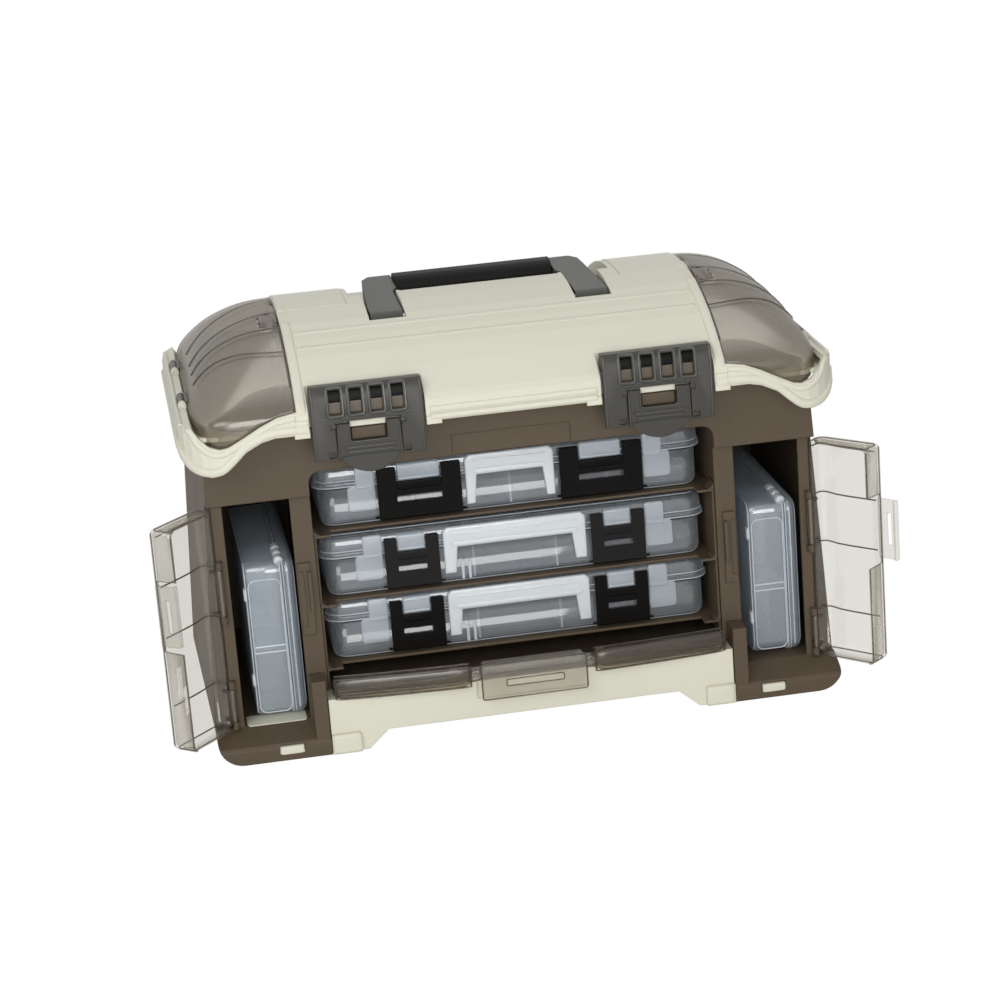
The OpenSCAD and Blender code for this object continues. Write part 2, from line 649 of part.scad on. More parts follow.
module latch_flap() color(dark_grey) {
    front_y = latch_back_y - latch_t;
    hw = flap_w / 2;
    difference() {
        union() {
            block([latch_x - hw, latch_x + hw], [front_y, latch_back_y], [latch_bottom_z, flap_top_z - 1.5]);
            for (x = [latch_x - hw, latch_x + notch_w / 2])
                rod_x(x, x + hw - notch_w / 2, flap_axis_y, flap_axis_z, latch_t / 2);
            // raised ribs
            for (i = [0 : 2])
                block([latch_x - 18 + i, latch_x + 18 - i], [front_y - 0.7, front_y + 1], [notch_z - 4 - 3.2 * i, notch_z - 2.8 - 3.2 * i]);
            // thumb tab
            intersection() {
                translate([latch_x, 0, latch_bottom_z + 14]) rotate([90, 0, 0]) cylinder(h = far, r = 24);
                block([latch_x - hw + 2, latch_x + hw - 2], [front_y - 1.6, latch_back_y], [latch_bottom_z - 10, latch_bottom_z + 2]);
            }
            rod_x(latch_x - hw - 3, latch_x + hw + 3, flap_axis_y, flap_axis_z, flap_pin_r);
        }
        block([latch_x - notch_w / 2, latch_x + notch_w / 2], [-far, 0], [notch_z, far]);
    }
}

module in_handle_plane() translate([0, handle_y, handle_z]) rotate([handle_rise, 0, 0]) children();

module handle_frame() color(dark_grey)
    in_handle_plane() {
        difference() {
            union() {
                both() {
                    along_z(-arm_t / 2, arm_t / 2)
                        polygon([[arm_in_x, 0], [arm_out_x, 0], [arm_out_x, 14], [arm_out_x - 3.5, grip_u - 8],
                            [arm_out_x - 4.5, grip_u + 6], [arm_out_x - 10, arm_len], [grip_len / 2 + 0.5, arm_len],
                            [grip_len / 2 + 0.5, grip_u - 22], [arm_in_x, grip_u - 30]]);
                    rod_x(arm_in_x, arm_out_x, 0, 0, arm_t / 2);
                }
                rod_x(-grip_len / 2 - 2, grip_len / 2 + 2, grip_u, 0, grip_core_r);
            }
            both() rod_x(arm_in_x - 1, arm_out_x - 2, 0, 0, handle_pin_r + pin_gap);
        }
    }

module handle_grip() color(black)
    in_handle_plane()
        difference() {
            union() {
                for (u = [grip_u - 3, grip_u + 3]) rod_x(-grip_len / 2, grip_len / 2, u, 0, grip_r);
                block([-grip_len / 2, grip_len / 2], [grip_u - 3, grip_u + 3], [-grip_r, grip_r]);
            }
            rod_x(-grip_len, grip_len, grip_u, 0, grip_core_r + pin_gap);
        }

module handle_pins() color(steel)
    both() rod_x(arm_in_x - 8.5, arm_out_x - 3, handle_y, handle_z, handle_pin_r);

module end_cover() color(smoke) {
    difference() {
        intersection() {
            difference() {
                lid_form(cover_gap);
                lid_form(cover_gap + clear_wall);
            }
            along_y(-far, far) cover_window(side_gap);
        }
        // notch over the snap post
        block([0, cover_in_x + 14], [post_ys[0] - 1.5, post_ys[1] + 1.5], [0, far]);
        // relief beside the lugs of the lid
        for (k = cover_knuckles) for (s = [-1, 1])
            block([cover_axis_x - 4.5, far], [k + s * 15 - 4.5, k + s * 15 + 4.5], [0, cover_axis_z + 5]);
    }
    // ribs across the dome
    intersection() {
        difference() {
            lid_form(cover_gap - 0.9);
            lid_form(cover_gap + 1);
        }
        along_y(-far, far) cover_window(2);
        for (y = [-78, -24, 30]) block([cover_in_x, far], [y - 1, y + 1], [crown_z - 50, far]);
        block([cover_in_x, cover_axis_x - 6], [-far, far], [0, far]);
    }
    difference() {
        for (k = cover_knuckles) {
            rod_y(k - knuckle_half, k + knuckle_half, cover_axis_x, cover_axis_z, cover_knuckle_r);
            block([cover_axis_x - 6, cover_axis_x], [k - knuckle_half, k + knuckle_half], [cover_axis_z - 0.5, cover_axis_z + 2.5]);
        }
        rod_y(-far, far, cover_axis_x, cover_axis_z, cover_pin_r + pin_gap);
    }
}

// A side door drawn shut, then swung about its hinge
module swing_door(a) translate([door_axis_x, door_axis_y, 0]) rotate([0, 0, a]) translate([-door_axis_x, -door_axis_y, 0]) children();

module door_outline(inset) {
    x0 = door_far_x;
    x1 = door_axis_x + 1;
    offset(delta = -inset)
        polygon([[x0, door_front + 1.5], [x0 + 1.5, door_front], [x1 - 5, door_front], [x1 - 1.5, door_front + 1.5], [x1, door_front + 5],
            [x1, door_front + 40], [x0, door_front + 40]]);
}

module side_door() color(smoke)
    swing_door(door_open) {
        back = frame_face_y - seat_gap;
        difference() {
            union() {
                difference() {
                    intersection() {
                        along_z(door_z[0], door_z[1]) door_outline(0);
                        block([0, far], [door_front - 1, back], [0, far]);
                    }
                    along_z(door_z[0] + clear_wall, door_z[1] - clear_wall) door_outline(clear_wall);
                }
                // lugs of the latch tab's pivot
                for (z = [tab_z[0] - 3.5, tab_z[1] + 0.5])
                    block([door_far_x + 0.5, door_far_x + 3.4], [door_front + 0.5, door_front + 3.4], [z, z + 3]);
            }
            translate([door_far_x + 1.7, door_front + 1.7, tab_z[0] - 5])
                cylinder(h = tab_z[1] - tab_z[0] + 10, r = 0.8 + pin_gap);
            // the hinge side stops in front of the knuckles
            block([door_axis_x - 6, far], [door_axis_y - door_knuckle_r - 0.6, far], [0, far]);
            // opening for the latch in the free edge
            block([0, door_far_x + clear_wall + 0.5], [door_front + 3.2, far], [tab_z[0] - 4, tab_z[1] + 4]);
            block([0, door_far_x + 3.4], [door_front - 1, door_front + 3.4], [tab_z[0] - seat_gap, tab_z[1] + seat_gap]);
        }
        // steps across the face
        for (z = [side_floor_z + 33.5, side_floor_z + 82.5, side_floor_z + 119.5])
            intersection() {
                along_z(z - 0.9, z + 0.9) difference() { door_outline(clear_wall - 0.5); door_outline(clear_wall + 1.2); }
                block([0, door_axis_x], [door_front - 2, door_axis_y - door_knuckle_r - 0.7], [0, far]);
                block([door_far_x + 4, far], [-far, far], [0, far]);
            }
        difference() {
            for (k = door_knuckles) {
                translate([door_axis_x, door_axis_y, k[0]]) cylinder(h = k[1] - k[0], r = door_knuckle_r);
                block([door_axis_x - 1.2, door_axis_x + 1], [door_axis_y - 6, door_axis_y], k);
            }
            translate([door_axis_x, door_axis_y, 0]) cylinder(h = far, r = door_pin_r + pin_gap);
        }
    }

module door_latch(fold) color(smoke)
    swing_door(door_open)
        translate([door_far_x + 1.7, door_front + 1.7, 0]) rotate([0, 0, -fold]) {
            translate([0, 0, tab_z[0]]) cylinder(h = tab_z[1] - tab_z[0], r = 1.5);
            difference() {
                block([-tab_len, 0], [-1.1, 1.1], tab_z);
                block([-tab_len + 4, -tab_len + 8], [-3, 3], tab_z + [10, -10]);
            }
            block([-tab_len - 0.8, -tab_len + 1], [-1.1, 3.2], tab_z);
            translate([0, 0, tab_z[0] - 2.6]) cylinder(h = tab_z[1] - tab_z[0] + 5.2, r = 0.8);
        }

module lip_line(y) {
    half = rack_half_w - 2;
    r = (half * half + lip_bow * lip_bow) / (2 * lip_bow);
    n = 16;
    front = [for (i = [0 : n]) let(x = -half + 2 * half * i / n) [x, y - sqrt(r * r - x * x) + r - lip_bow]];
    polygon(concat(front, [[half, y + 0.01], [-half, y + 0.01]]));
}

module front_door() color(smoke) {
    y0 = base_front_y - seat_gap - 0.2;
    half = rack_half_w - 2;
    // panel
    block([-half, half], [y0 - 0.5, y0 + front_panel_d], [panel_z, panel_z + clear_wall]);
    block([-half, half], [y0 + front_panel_d - 6, y0 + front_panel_d], [panel_z - 3, panel_z + 1]);
    // bowed lip with its top and bottom flanges
    difference() {
        along_z(lip_z[0], lip_z[1]) lip_line(y0);
        translate([0, clear_wall, 0])
            along_z(lip_z[0] + clear_wall, lip_z[1] + 1)
                intersection() {
                    lip_line(y0);
                    translate([-half + clear_wall, -far]) square([2 * half - 2 * clear_wall, 2 * far]);
                }
    }
    // middle tab
    difference() {
        block([-38, 38], [y0 - lip_bow - 3, y0 - lip_bow + 1], [29, lip_z[1] + 1]);
        block([-20, 21], [y0 - lip_bow - 4, y0 - lip_bow - 0.6], [38, 43]);
        block([-36, 36], [y0 - lip_bow - 0.8, y0 - lip_bow + 3], [28, lip_z[0] - 0.01]);
    }
}

// A rack box: i is 0 for the lowest
module at_box(i) translate([0, ubox_front_y, ubox_z(i)]) children();
lid_h = 16.5;
box_lip = 2.4;
function box_latch_x(i) = ubox_half_w - (i == 2 ? 74.7 : 65.4);
function box_latch_w(i) = i == 2 ? 59.5 : 38.8;
box_latch_top = 39;
box_pivot_z = 4;
box_pivot_y = -2.4;

module box_tray(i) color(milky) at_box(i) {
    hw = ubox_half_w - 4;
    top = ubox_h - lid_h;
    difference() {
        union() {
            translate([-hw, 0.8]) along_z(0, top) round_rect(2 * hw, ubox_d - 1.6, 7);
            // pivot lugs of the latches
            for (s = [-1, 1]) for (e = [-1, 1]) let(x = s * box_latch_x(i) + e * (box_latch_w(i) / 2 + 1.8))
                block([x - 1.3, x + 1.3], [box_pivot_y - 1.8, 2], [box_pivot_z - 2.6, box_pivot_z + 1.8]);
        }
        translate([-hw + ubox_wall, 0.8 + ubox_wall])
            along_z(ubox_wall, far) round_rect(2 * hw - 2 * ubox_wall, ubox_d - 1.6 - 2 * ubox_wall, 5.6);
        for (s = [-1, 1])
            rod_x(s * box_latch_x(i) - box_latch_w(i) / 2 - 4, s * box_latch_x(i) + box_latch_w(i) / 2 + 4,
                box_pivot_y, box_pivot_z, 0.9 + pin_gap);
    }
}

module box_lid(i) color(milky) at_box(i) {
    z0 = ubox_h - lid_h + seat_gap;
    difference() {
        union() {
            translate([-ubox_half_w, 0]) along_z(z0, ubox_h) round_rect(2 * ubox_half_w, ubox_d, 8);
            // front lip between the latches
            lip = box_latch_x(i) - box_latch_w(i) / 2 - 3;
            block([-lip, lip], [-1.6, 2], [z0, ubox_h - 4]);
            block([-lip, lip], [-1.6, 0.8 - seat_gap], [z0 - 4, z0 + 1]);
            // snap bars under the latches
            for (s = [-1, 1]) let(x = s * box_latch_x(i), w = box_latch_w(i) * 0.24)
                block([x - w, x + w], [-2.6, 2], [ubox_h - 12, ubox_h - 2]);
        }
        translate([-ubox_half_w + ubox_wall, ubox_wall])
            along_z(z0 - 5, ubox_h - ubox_wall) round_rect(2 * ubox_half_w - 2 * ubox_wall, ubox_d - 2 * ubox_wall, 6.4);
    }
    // skirt that stands inside the tray
    hw = ubox_half_w - 4 - ubox_wall - seat_gap;
    y0 = 0.8 + ubox_wall + seat_gap;
    difference() {
        translate([-hw, y0]) along_z(z0 - 3, ubox_h - ubox_wall + 0.2) round_rect(2 * hw, ubox_d - 2 * y0, 5.2);
        translate([-hw + 1.2, y0 + 1.2]) along_z(0, far) round_rect(2 * hw - 2.4, ubox_d - 2 * y0 - 2.4, 4);
    }
}

module box_dividers(i) color(milky) at_box(i) {
    hw = ubox_half_w - 4 - ubox_wall - seat_gap;
    y0 = 0.8 + ubox_wall + seat_gap;
    z = [ubox_wall + seat_gap, ubox_h - lid_h - 4];
    for (t = i == 2 ? [-0.5, 0, 0.5] : [-0.66, -0.215, 0.215, 0.66]) let(x = t * ubox_half_w)
        block([x - 0.7, x + 0.7], [y0, ubox_d - y0], z);
    block([-hw, hw], [ubox_d / 2 - 0.7, ubox_d / 2 + 0.7], z);
}

module box_latch(i, s) color(black) at_box(i) {
    x = s * box_latch_x(i);
    hw = box_latch_w(i) / 2;
    plate_y = [box_pivot_y - 2, box_pivot_y - 0.4];
    notch = box_latch_w(i) * 0.27;
    difference() {
        union() {
            block([x - hw, x + hw], plate_y, [box_pivot_z - 1, box_latch_top]);
            block([x - hw, x + hw], [plate_y[0], plate_y[1] + 2.2], [box_latch_top - 4, box_latch_top]);
            rod_x(x - hw, x + hw, box_pivot_y, box_pivot_z, 1.9);
            rod_x(x - hw - 2.8, x + hw + 2.8, box_pivot_y, box_pivot_z, 0.9);
        }
        block([x - notch, x + notch], [-far, far], [box_latch_top - 16, far]);
        block([x - notch, x + notch], [-far, far], [14, 19]);
        block([x - hw - 1, x + hw + 1], [plate_y[1], far], [box_latch_top - 4.01, box_latch_top - 2]);
    }
}

// A side box stands on edge with its lid to the right
function sbox_x(s) = s < 0 ? -bay_in_x - side_gap - sbox_w : bay_out_x - side_gap - sbox_w;
sbox_z = side_floor_z + seat_gap;
sbox_y = upper_face_y + 14;
sbox_lid_w = 9;
module sbox_plate(inset) translate([inset, inset]) round_rect(sbox_d - 2 * inset, sbox_h - 2 * inset, 9 - inset * 0.7);
module at_sbox(s) translate([sbox_x(s), sbox_y, sbox_z]) children();

module side_box_tray(s) color(milky) at_sbox(s) {
    w = sbox_w - sbox_lid_w;
    difference() {
        along_x(0, w) sbox_plate(1);
        along_x(ubox_wall, far) sbox_plate(1 + ubox_wall);
    }
    // raised border and hinge knuckles
    for (y = [12 : 12 : 96]) rod_y(y, y + 7, w - 2, sbox_h - 0.4, 2.2);
    for (z = [30, 90]) block([-1.6, 4], [-0.2, 2], [z, z + 10]);
}

module side_box_lid(s) color(milky) at_sbox(s) {
    w0 = sbox_w - sbox_lid_w + seat_gap;
    difference() {
        along_x(w0, sbox_w) sbox_plate(0);
        along_x(w0 - 1, sbox_w - ubox_wall) sbox_plate(ubox_wall);
    }
}

module side_box_divider(s) color(milky) at_sbox(s) {
    i = 1 + ubox_wall + seat_gap;
    w = sbox_w - sbox_lid_w;
    block([ubox_wall + seat_gap, w - 2], [i, sbox_d - i], [sbox_h * 0.44 - 0.7, sbox_h * 0.44 + 0.7]);
    for (y = [sbox_d / 3, sbox_d * 0.7]) block([ubox_wall + seat_gap, w - 2], [y - 0.7, y + 0.7], [i, sbox_h - i]);
}

housing();
base();
box_rack();
sided(-1) catch_plate();  // catch_plate_left
sided(1) catch_plate();  // catch_plate_right
sided(-1) door_pins();  // door_pins_left
sided(1) door_pins();  // door_pins_right
lid_hinge_pins();
lid_shell();
sided(-1) bin();  // bin_left
sided(1) bin();  // bin_right
sided(-1) latch_mount();  // latch_mount_left
sided(1) latch_mount();  // latch_mount_right
sided(-1) latch_pin();  // latch_pin_left
sided(1) latch_pin();  // latch_pin_right
sided(-1) cover_pins();  // cover_pins_left
sided(1) cover_pins();  // cover_pins_right
handle_pins();
handle_frame();
handle_grip();
sided(-1) latch();  // latch_left
sided(1) latch();  // latch_right
sided(-1) latch_flap();  // latch_flap_left
sided(1) latch_flap();  // latch_flap_right
sided(-1) end_cover();  // end_cover_left
sided(1) end_cover();  // end_cover_right
sided(-1) side_door();  // side_door_left
sided(1) side_door();  // side_door_right
sided(-1) door_latch(95);  // door_latch_left
sided(1) door_latch(0);  // door_latch_right
front_door();
box_tray(2);  // box_top_tray
box_lid(2);  // box_top_lid
box_dividers(2);  // box_top_dividers
box_latch(2, -1);  // box_top_latch_left
box_latch(2, 1);  // box_top_latch_right
box_tray(1);  // box_middle_tray
box_lid(1);  // box_middle_lid
box_dividers(1);  // box_middle_dividers
box_latch(1, -1);  // box_middle_latch_left
box_latch(1, 1);  // box_middle_latch_right
box_tray(0);  // box_bottom_tray
box_lid(0);  // box_bottom_lid
box_dividers(0);  // box_bottom_dividers
box_latch(0, -1);  // box_bottom_latch_left
box_latch(0, 1);  // box_bottom_latch_right
side_box_tray(-1);  // side_box_left_tray
side_box_lid(-1);  // side_box_left_lid
side_box_divider(-1);  // side_box_left_divider
side_box_tray(1);  // side_box_right_tray
side_box_lid(1);  // side_box_right_lid
side_box_divider(1);  // side_box_right_divider
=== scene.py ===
# Fishing tackle cabinet: a housing with a rack of utility boxes, two side bays with clear doors,
# and a domed lid with a clear cover over a bin at each end. Metres, X right, Y back, Z up.
import math
import bmesh
import bpy
from mathutils import Matrix, Vector


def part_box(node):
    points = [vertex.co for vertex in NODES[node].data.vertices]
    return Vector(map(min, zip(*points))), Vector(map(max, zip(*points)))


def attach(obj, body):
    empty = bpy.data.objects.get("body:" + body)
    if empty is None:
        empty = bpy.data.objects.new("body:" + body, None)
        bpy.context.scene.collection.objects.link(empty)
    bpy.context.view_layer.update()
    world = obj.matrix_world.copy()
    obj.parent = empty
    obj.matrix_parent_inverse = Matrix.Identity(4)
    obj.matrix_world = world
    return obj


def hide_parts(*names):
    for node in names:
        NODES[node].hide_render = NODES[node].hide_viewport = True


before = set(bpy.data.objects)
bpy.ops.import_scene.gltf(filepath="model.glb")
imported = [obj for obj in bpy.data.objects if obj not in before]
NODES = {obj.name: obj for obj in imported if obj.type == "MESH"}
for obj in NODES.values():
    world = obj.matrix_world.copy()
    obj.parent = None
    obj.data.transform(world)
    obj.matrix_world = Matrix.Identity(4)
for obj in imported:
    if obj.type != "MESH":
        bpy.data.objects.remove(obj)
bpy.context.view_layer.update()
scene = bpy.context.scene
MM = 0.001


# ---------------------------------------------------------------- camera
CAMERA_PLACE = (-0.2716, -1.9747, 0.7419)
CAMERA_TURN = (7.92, 16.93, -4.5)  # yaw, pitch down and roll in degrees
SENSOR = 36
FOCAL = 2.820  # in widths of the sensor


def make_camera():
    yaw, pitch, roll = (math.radians(a) for a in CAMERA_TURN)
    fwd = Vector((math.sin(yaw) * math.cos(pitch), math.cos(yaw) * math.cos(pitch), -math.sin(pitch)))
    right = Vector((math.cos(yaw), -math.sin(yaw), 0))
    up = right.cross(fwd)
    r = right * math.cos(roll) + up * math.sin(roll)
    u = up * math.cos(roll) - right * math.sin(roll)
    data = bpy.data.cameras.new("camera")
    data.sensor_width = SENSOR
    data.lens = FOCAL * SENSOR
    data.clip_start, data.clip_end = 0.1, 20
    cam = bpy.data.objects.new("camera", data)
    m = Matrix((r, u, -fwd)).transposed().to_4x4()
    m.translation = Vector(CAMERA_PLACE)
    cam.matrix_world = m
    scene.collection.objects.link(cam)
    scene.camera = cam


make_camera()


# ---------------------------------------------------------------- materials
def new_material(name):
    mat = bpy.data.materials.new(name)
    mat.use_nodes = True
    mat.node_tree.nodes.clear()
    return mat, mat.node_tree


def add(tree, kind, **inputs):
    """A new node. An input gets a value, or a link where it is given a socket."""
    node = tree.nodes.new(kind)
    for name, value in inputs.items():
        give(tree, node.inputs[name.replace("_", " ")], value)
    return node


def give(tree, socket, value):
    """Links a socket to the input, or sets its value."""
    if isinstance(value, bpy.types.NodeSocket):
        tree.links.new(value, socket)
    else:
        socket.default_value = value


def math_node(tree, operation, *values):
    """A calculation on up to three values or sockets, as a socket."""
    node = tree.nodes.new("ShaderNodeMath")
    node.operation = operation
    for socket, value in zip(node.inputs, values):
        give(tree, socket, value)
    return node.outputs[0]


def mix_colors(tree, share, a, b):
    """A colour between a and b, as a socket."""
    node = tree.nodes.new("ShaderNodeMix")
    node.data_type = "RGBA"
    give(tree, node.inputs[0], share)
    node.inputs[6].default_value = (*a, 1)
    node.inputs[7].default_value = (*b, 1)
    return node.outputs[2]


def mix_shaders(tree, share, a, b):
    """A shader between the nodes a and b."""
    node = tree.nodes.new("ShaderNodeMixShader")
    for socket, value in zip(node.inputs, (share, a.outputs[0], b.outputs[0])):
        give(tree, socket, value)
    return node


def object_place(tree):
    """Where a point lies on its object, as a socket."""
    return tree.nodes.new("ShaderNodeTexCoord").outputs["Object"]


def grain_group():
    """Fine moulded grain over a rounded edge: gives a normal, the fine noise and a slow drift."""
    g = bpy.data.node_groups.new("moulded_grain", "ShaderNodeTree")
    for name, value in (("Radius", 0.0012), ("Grain", 0.2), ("Scale", 900.0)):
        socket = g.interface.new_socket(name, in_out="INPUT", socket_type="NodeSocketFloat")
        socket.default_value = value
    for name, kind in (("Normal", "Vector"), ("Fine", "Float"), ("Broad", "Float")):
        g.interface.new_socket(name, in_out="OUTPUT", socket_type="NodeSocket" + kind)
    given, place = g.nodes.new("NodeGroupInput").outputs, object_place(g)
    fine = add(g, "ShaderNodeTexNoise", Vector=place, Scale=given["Scale"], Detail=3.0, Roughness=0.6)
    broad = add(g, "ShaderNodeTexNoise", Vector=place, Scale=14.0, Detail=2.0)
    rounded = add(g, "ShaderNodeBevel", Radius=given["Radius"])
    rounded.samples = 6
    bump = add(g, "ShaderNodeBump", Distance=0.0003, Strength=given["Grain"], Height=fine.outputs["Fac"],
               Normal=rounded.outputs["Normal"])
    add(g, "NodeGroupOutput", Normal=bump.outputs["Normal"], Fine=fine.outputs["Fac"],
        Broad=broad.outputs["Fac"])
    return g


GRAIN = grain_group()


def plastic(name, dark, light, rough=0.42, grain=0.25, scale=900.0, radius=0.0012, speckle=1.0, spec=0.5):
    """Opaque moulded plastic: two tones mixed by a fine speckle and a slow drift."""
    mat, tree = new_material(name)
    group = tree.nodes.new("ShaderNodeGroup")
    group.node_tree = GRAIN
    for key, value in (("Radius", radius), ("Grain", grain), ("Scale", scale)):
        group.inputs[key].default_value = value
    drift = group.outputs["Broad"]
    fine = math_node(tree, "MULTIPLY_ADD", group.outputs["Fine"], speckle, 0.5 - 0.5 * speckle)
    tone = math_node(tree, "MULTIPLY_ADD", drift, 0.35, math_node(tree, "MULTIPLY", fine, 0.65))
    roughness = math_node(tree, "MULTIPLY_ADD", drift, 0.16, rough - 0.08)
    surface = add(tree, "ShaderNodeBsdfPrincipled", Base_Color=mix_colors(tree, tone, dark, light),
                  Roughness=roughness, IOR=1.5, Normal=group.outputs["Normal"])
    surface.inputs["Specular IOR Level"].default_value = spec
    add(tree, "ShaderNodeOutputMaterial", Surface=surface.outputs[0])
    mat.diffuse_color = (*light, 1)
    return mat


def clear(name, tint, edge, haze_color, haze=0.12, edge_haze=0.55, gloss=0.10, rough=0.06, radius=0.0008,
          wave=0.15, through=0.5, start=0.25, thin=False):
    """Thin clear moulding: see-through face on, tinted and hazier where it is seen aslant, from start on.

    through is the share of the haze that lets light through."""
    mat, tree = new_material(name)
    noise = add(tree, "ShaderNodeTexNoise", Vector=object_place(tree), Scale=38.0, Detail=2.0)
    rounded = add(tree, "ShaderNodeBevel", Radius=radius)
    rounded.samples = 4
    bump = add(tree, "ShaderNodeBump", Distance=0.002, Strength=wave, Height=noise.outputs["Fac"],
               Normal=rounded.outputs["Normal"])
    normal = bump.outputs["Normal"]
    weight = add(tree, "ShaderNodeLayerWeight", Blend=0.35, Normal=normal).outputs
    aslant = add(tree, "ShaderNodeMapRange", Value=weight["Facing"], From_Min=start, From_Max=0.95).outputs[0]
    see_through = add(tree, "ShaderNodeBsdfTransparent", Color=mix_colors(tree, aslant, tint, edge))
    front_lit = add(tree, "ShaderNodeBsdfDiffuse", Color=(*haze_color, 1))
    back_lit = add(tree, "ShaderNodeBsdfTranslucent", Color=(*haze_color, 1))
    milk = mix_shaders(tree, through, front_lit, back_lit)
    milk_share = add(tree, "ShaderNodeMapRange", Value=aslant, To_Min=haze, To_Max=edge_haze).outputs[0]
    wall = mix_shaders(tree, milk_share, see_through, milk)
    mirror = add(tree, "ShaderNodeBsdfGlossy", Roughness=rough, Normal=normal)
    # Fresnel mirrors fully on the inner face of a wall seen aslant; a thin wall leaves that out
    kind, strength = ("Facing", 0.12) if thin else ("Fresnel", 0.45)
    mirror_share = math_node(tree, "MULTIPLY_ADD", weight[kind], strength, gloss * 0.5)
    surface = mix_shaders(tree, mirror_share, wall, mirror)
    add(tree, "ShaderNodeOutputMaterial", Surface=surface.outputs[0])
    mat.diffuse_color = (*haze_color, 0.5)
    return mat


def metal(name):
    mat, tree = new_material(name)
    noise = add(tree, "ShaderNodeTexNoise", Vector=object_place(tree), Scale=700.0)
    bump = add(tree, "ShaderNodeBump", Strength=0.1, Distance=0.0002, Height=noise.outputs["Fac"])
    surface = add(tree, "ShaderNodeBsdfPrincipled", Base_Color=(0.55, 0.55, 0.56, 1), Metallic=1.0,
                  Roughness=0.35, Normal=bump.outputs["Normal"])
    add(tree, "ShaderNodeOutputMaterial", Surface=surface.outputs[0])
    return mat


CREAM = plastic("cream_plastic", (0.62, 0.60, 0.49), (0.70, 0.685, 0.57),
                rough=0.45, grain=0.10, scale=1100, speckle=0.6, spec=0.35)
BROWN = plastic("brown_plastic", (0.058, 0.042, 0.025), (0.111, 0.080, 0.049),
                rough=0.5, grain=0.22, scale=1000, speckle=1.4, spec=0.3)
GREY = plastic("grey_plastic", (0.051, 0.052, 0.043), (0.069, 0.070, 0.059),
               rough=0.42, grain=0.08, scale=1400, radius=0.0008, spec=0.25)
BLACK = plastic("black_plastic", (0.003, 0.0025, 0.0025), (0.006, 0.0055, 0.005),
                rough=0.3, grain=0.05, scale=1400, radius=0.0006, spec=0.07)
GREY_LATCH = plastic("latch_plastic", (0.038, 0.036, 0.030), (0.051, 0.049, 0.041),
                     rough=0.38, grain=0.08, scale=1400, radius=0.0008, spec=0.3)
CHARCOAL = plastic("charcoal_plastic", (0.008, 0.007, 0.007), (0.013, 0.012, 0.0115),
                   rough=0.36, grain=0.05, scale=1400, radius=0.0006, spec=0.12)
GRIP = plastic("grip_rubber", (0.004, 0.004, 0.004), (0.008, 0.008, 0.007),
               rough=0.5, grain=0.2, scale=1200, radius=0.0008, spec=0.12)
SMOKE = clear("smoky_clear", (0.92, 0.912, 0.888), (0.60, 0.56, 0.50), (0.62, 0.585, 0.505),
              haze=0.075, edge_haze=0.30, wave=0.03, start=0.5, thin=True)
COVER = clear("smoky_cover", (0.84, 0.81, 0.745), (0.60, 0.555, 0.47), (0.44, 0.39, 0.285),
              haze=0.24, edge_haze=0.40, gloss=0.10, rough=0.2, wave=0.05)
LIP = clear("smoky_lip", (0.83, 0.785, 0.70), (0.48, 0.42, 0.33), (0.36, 0.31, 0.225),
            haze=0.09, edge_haze=0.32, gloss=0.06, rough=0.18, radius=0.0003, wave=0.0)
MILKY = clear("milky_clear", (0.90, 0.915, 0.93), (0.76, 0.82, 0.87), (0.90, 0.95, 1.0),
              haze=0.10, edge_haze=0.5, through=0.2, wave=0.06)
MILKY_SIDE = clear("milky_side", (0.93, 0.955, 0.975), (0.78, 0.85, 0.91), (0.84, 0.93, 1.0),
                   haze=0.19, edge_haze=0.6, through=0.2, wave=0.05)
SMOKE_DARK = clear("smoky_deep", (0.62, 0.57, 0.48), (0.26, 0.21, 0.15), (0.20, 0.155, 0.105),
                   haze=0.16, edge_haze=0.4, wave=0.04)
SMOKE_LIGHT = clear("smoky_tab", (0.93, 0.915, 0.88), (0.55, 0.51, 0.44), (0.66, 0.63, 0.56),
                    haze=0.09, edge_haze=0.4, wave=0.04)
SMOKE_EDGE = clear("smoky_edge", (0.45, 0.40, 0.33), (0.2, 0.165, 0.125), (0.20, 0.165, 0.125),
                   haze=0.35, edge_haze=0.65, wave=0.03)
MILK_EDGE = clear("milky_edge", (0.95, 0.97, 0.98), (0.9, 0.94, 0.97), (0.93, 0.97, 1.0),
                  haze=0.5, edge_haze=0.7, through=0.1, wave=0.05)
MILK_DENSE = clear("milky_thick", (0.88, 0.915, 0.945), (0.82, 0.88, 0.93), (0.95, 0.985, 1.0),
                   haze=0.62, edge_haze=0.85, through=0.1, wave=0.06)
MILK_PAD = clear("milky_pad", (0.90, 0.925, 0.95), (0.80, 0.87, 0.92), (0.90, 0.96, 1.0),
                 haze=0.27, edge_haze=0.7, through=0.1, wave=0.05)
BROWN_GLOSS = plastic("brown_gloss", (0.080, 0.060, 0.038), (0.125, 0.097, 0.066),
                      rough=0.25, grain=0.1, scale=1000)
GREY_GLOSS = plastic("grey_rounded", (0.056, 0.054, 0.049), (0.074, 0.071, 0.065),
                     rough=0.2, grain=0.04, scale=1400, radius=0.0006)
STEEL = metal("steel")


def node_material(n):
    if n in ("housing", "box_rack") or n.startswith(("catch_plate", "bin_", "latch_mount")):
        return BROWN
    if n in ("base", "lid_shell"):
        return CREAM
    if n in ("latch_left", "latch_right") or n.startswith("latch_flap"):
        return GREY_LATCH
    if n == "handle_frame":
        return GREY
    if n == "handle_grip":
        return GRIP
    if n.startswith("box_middle_latch"):
        return CHARCOAL
    if n.startswith("box_") and "latch" in n:
        return BLACK
    if "pin" in n:
        return STEEL
    if n.startswith(("end_cover", "side_door", "door_latch", "front_door")):
        return SMOKE
    return MILKY


for name, obj in NODES.items():
    for s in obj.material_slots:
        s.material = node_material(name)


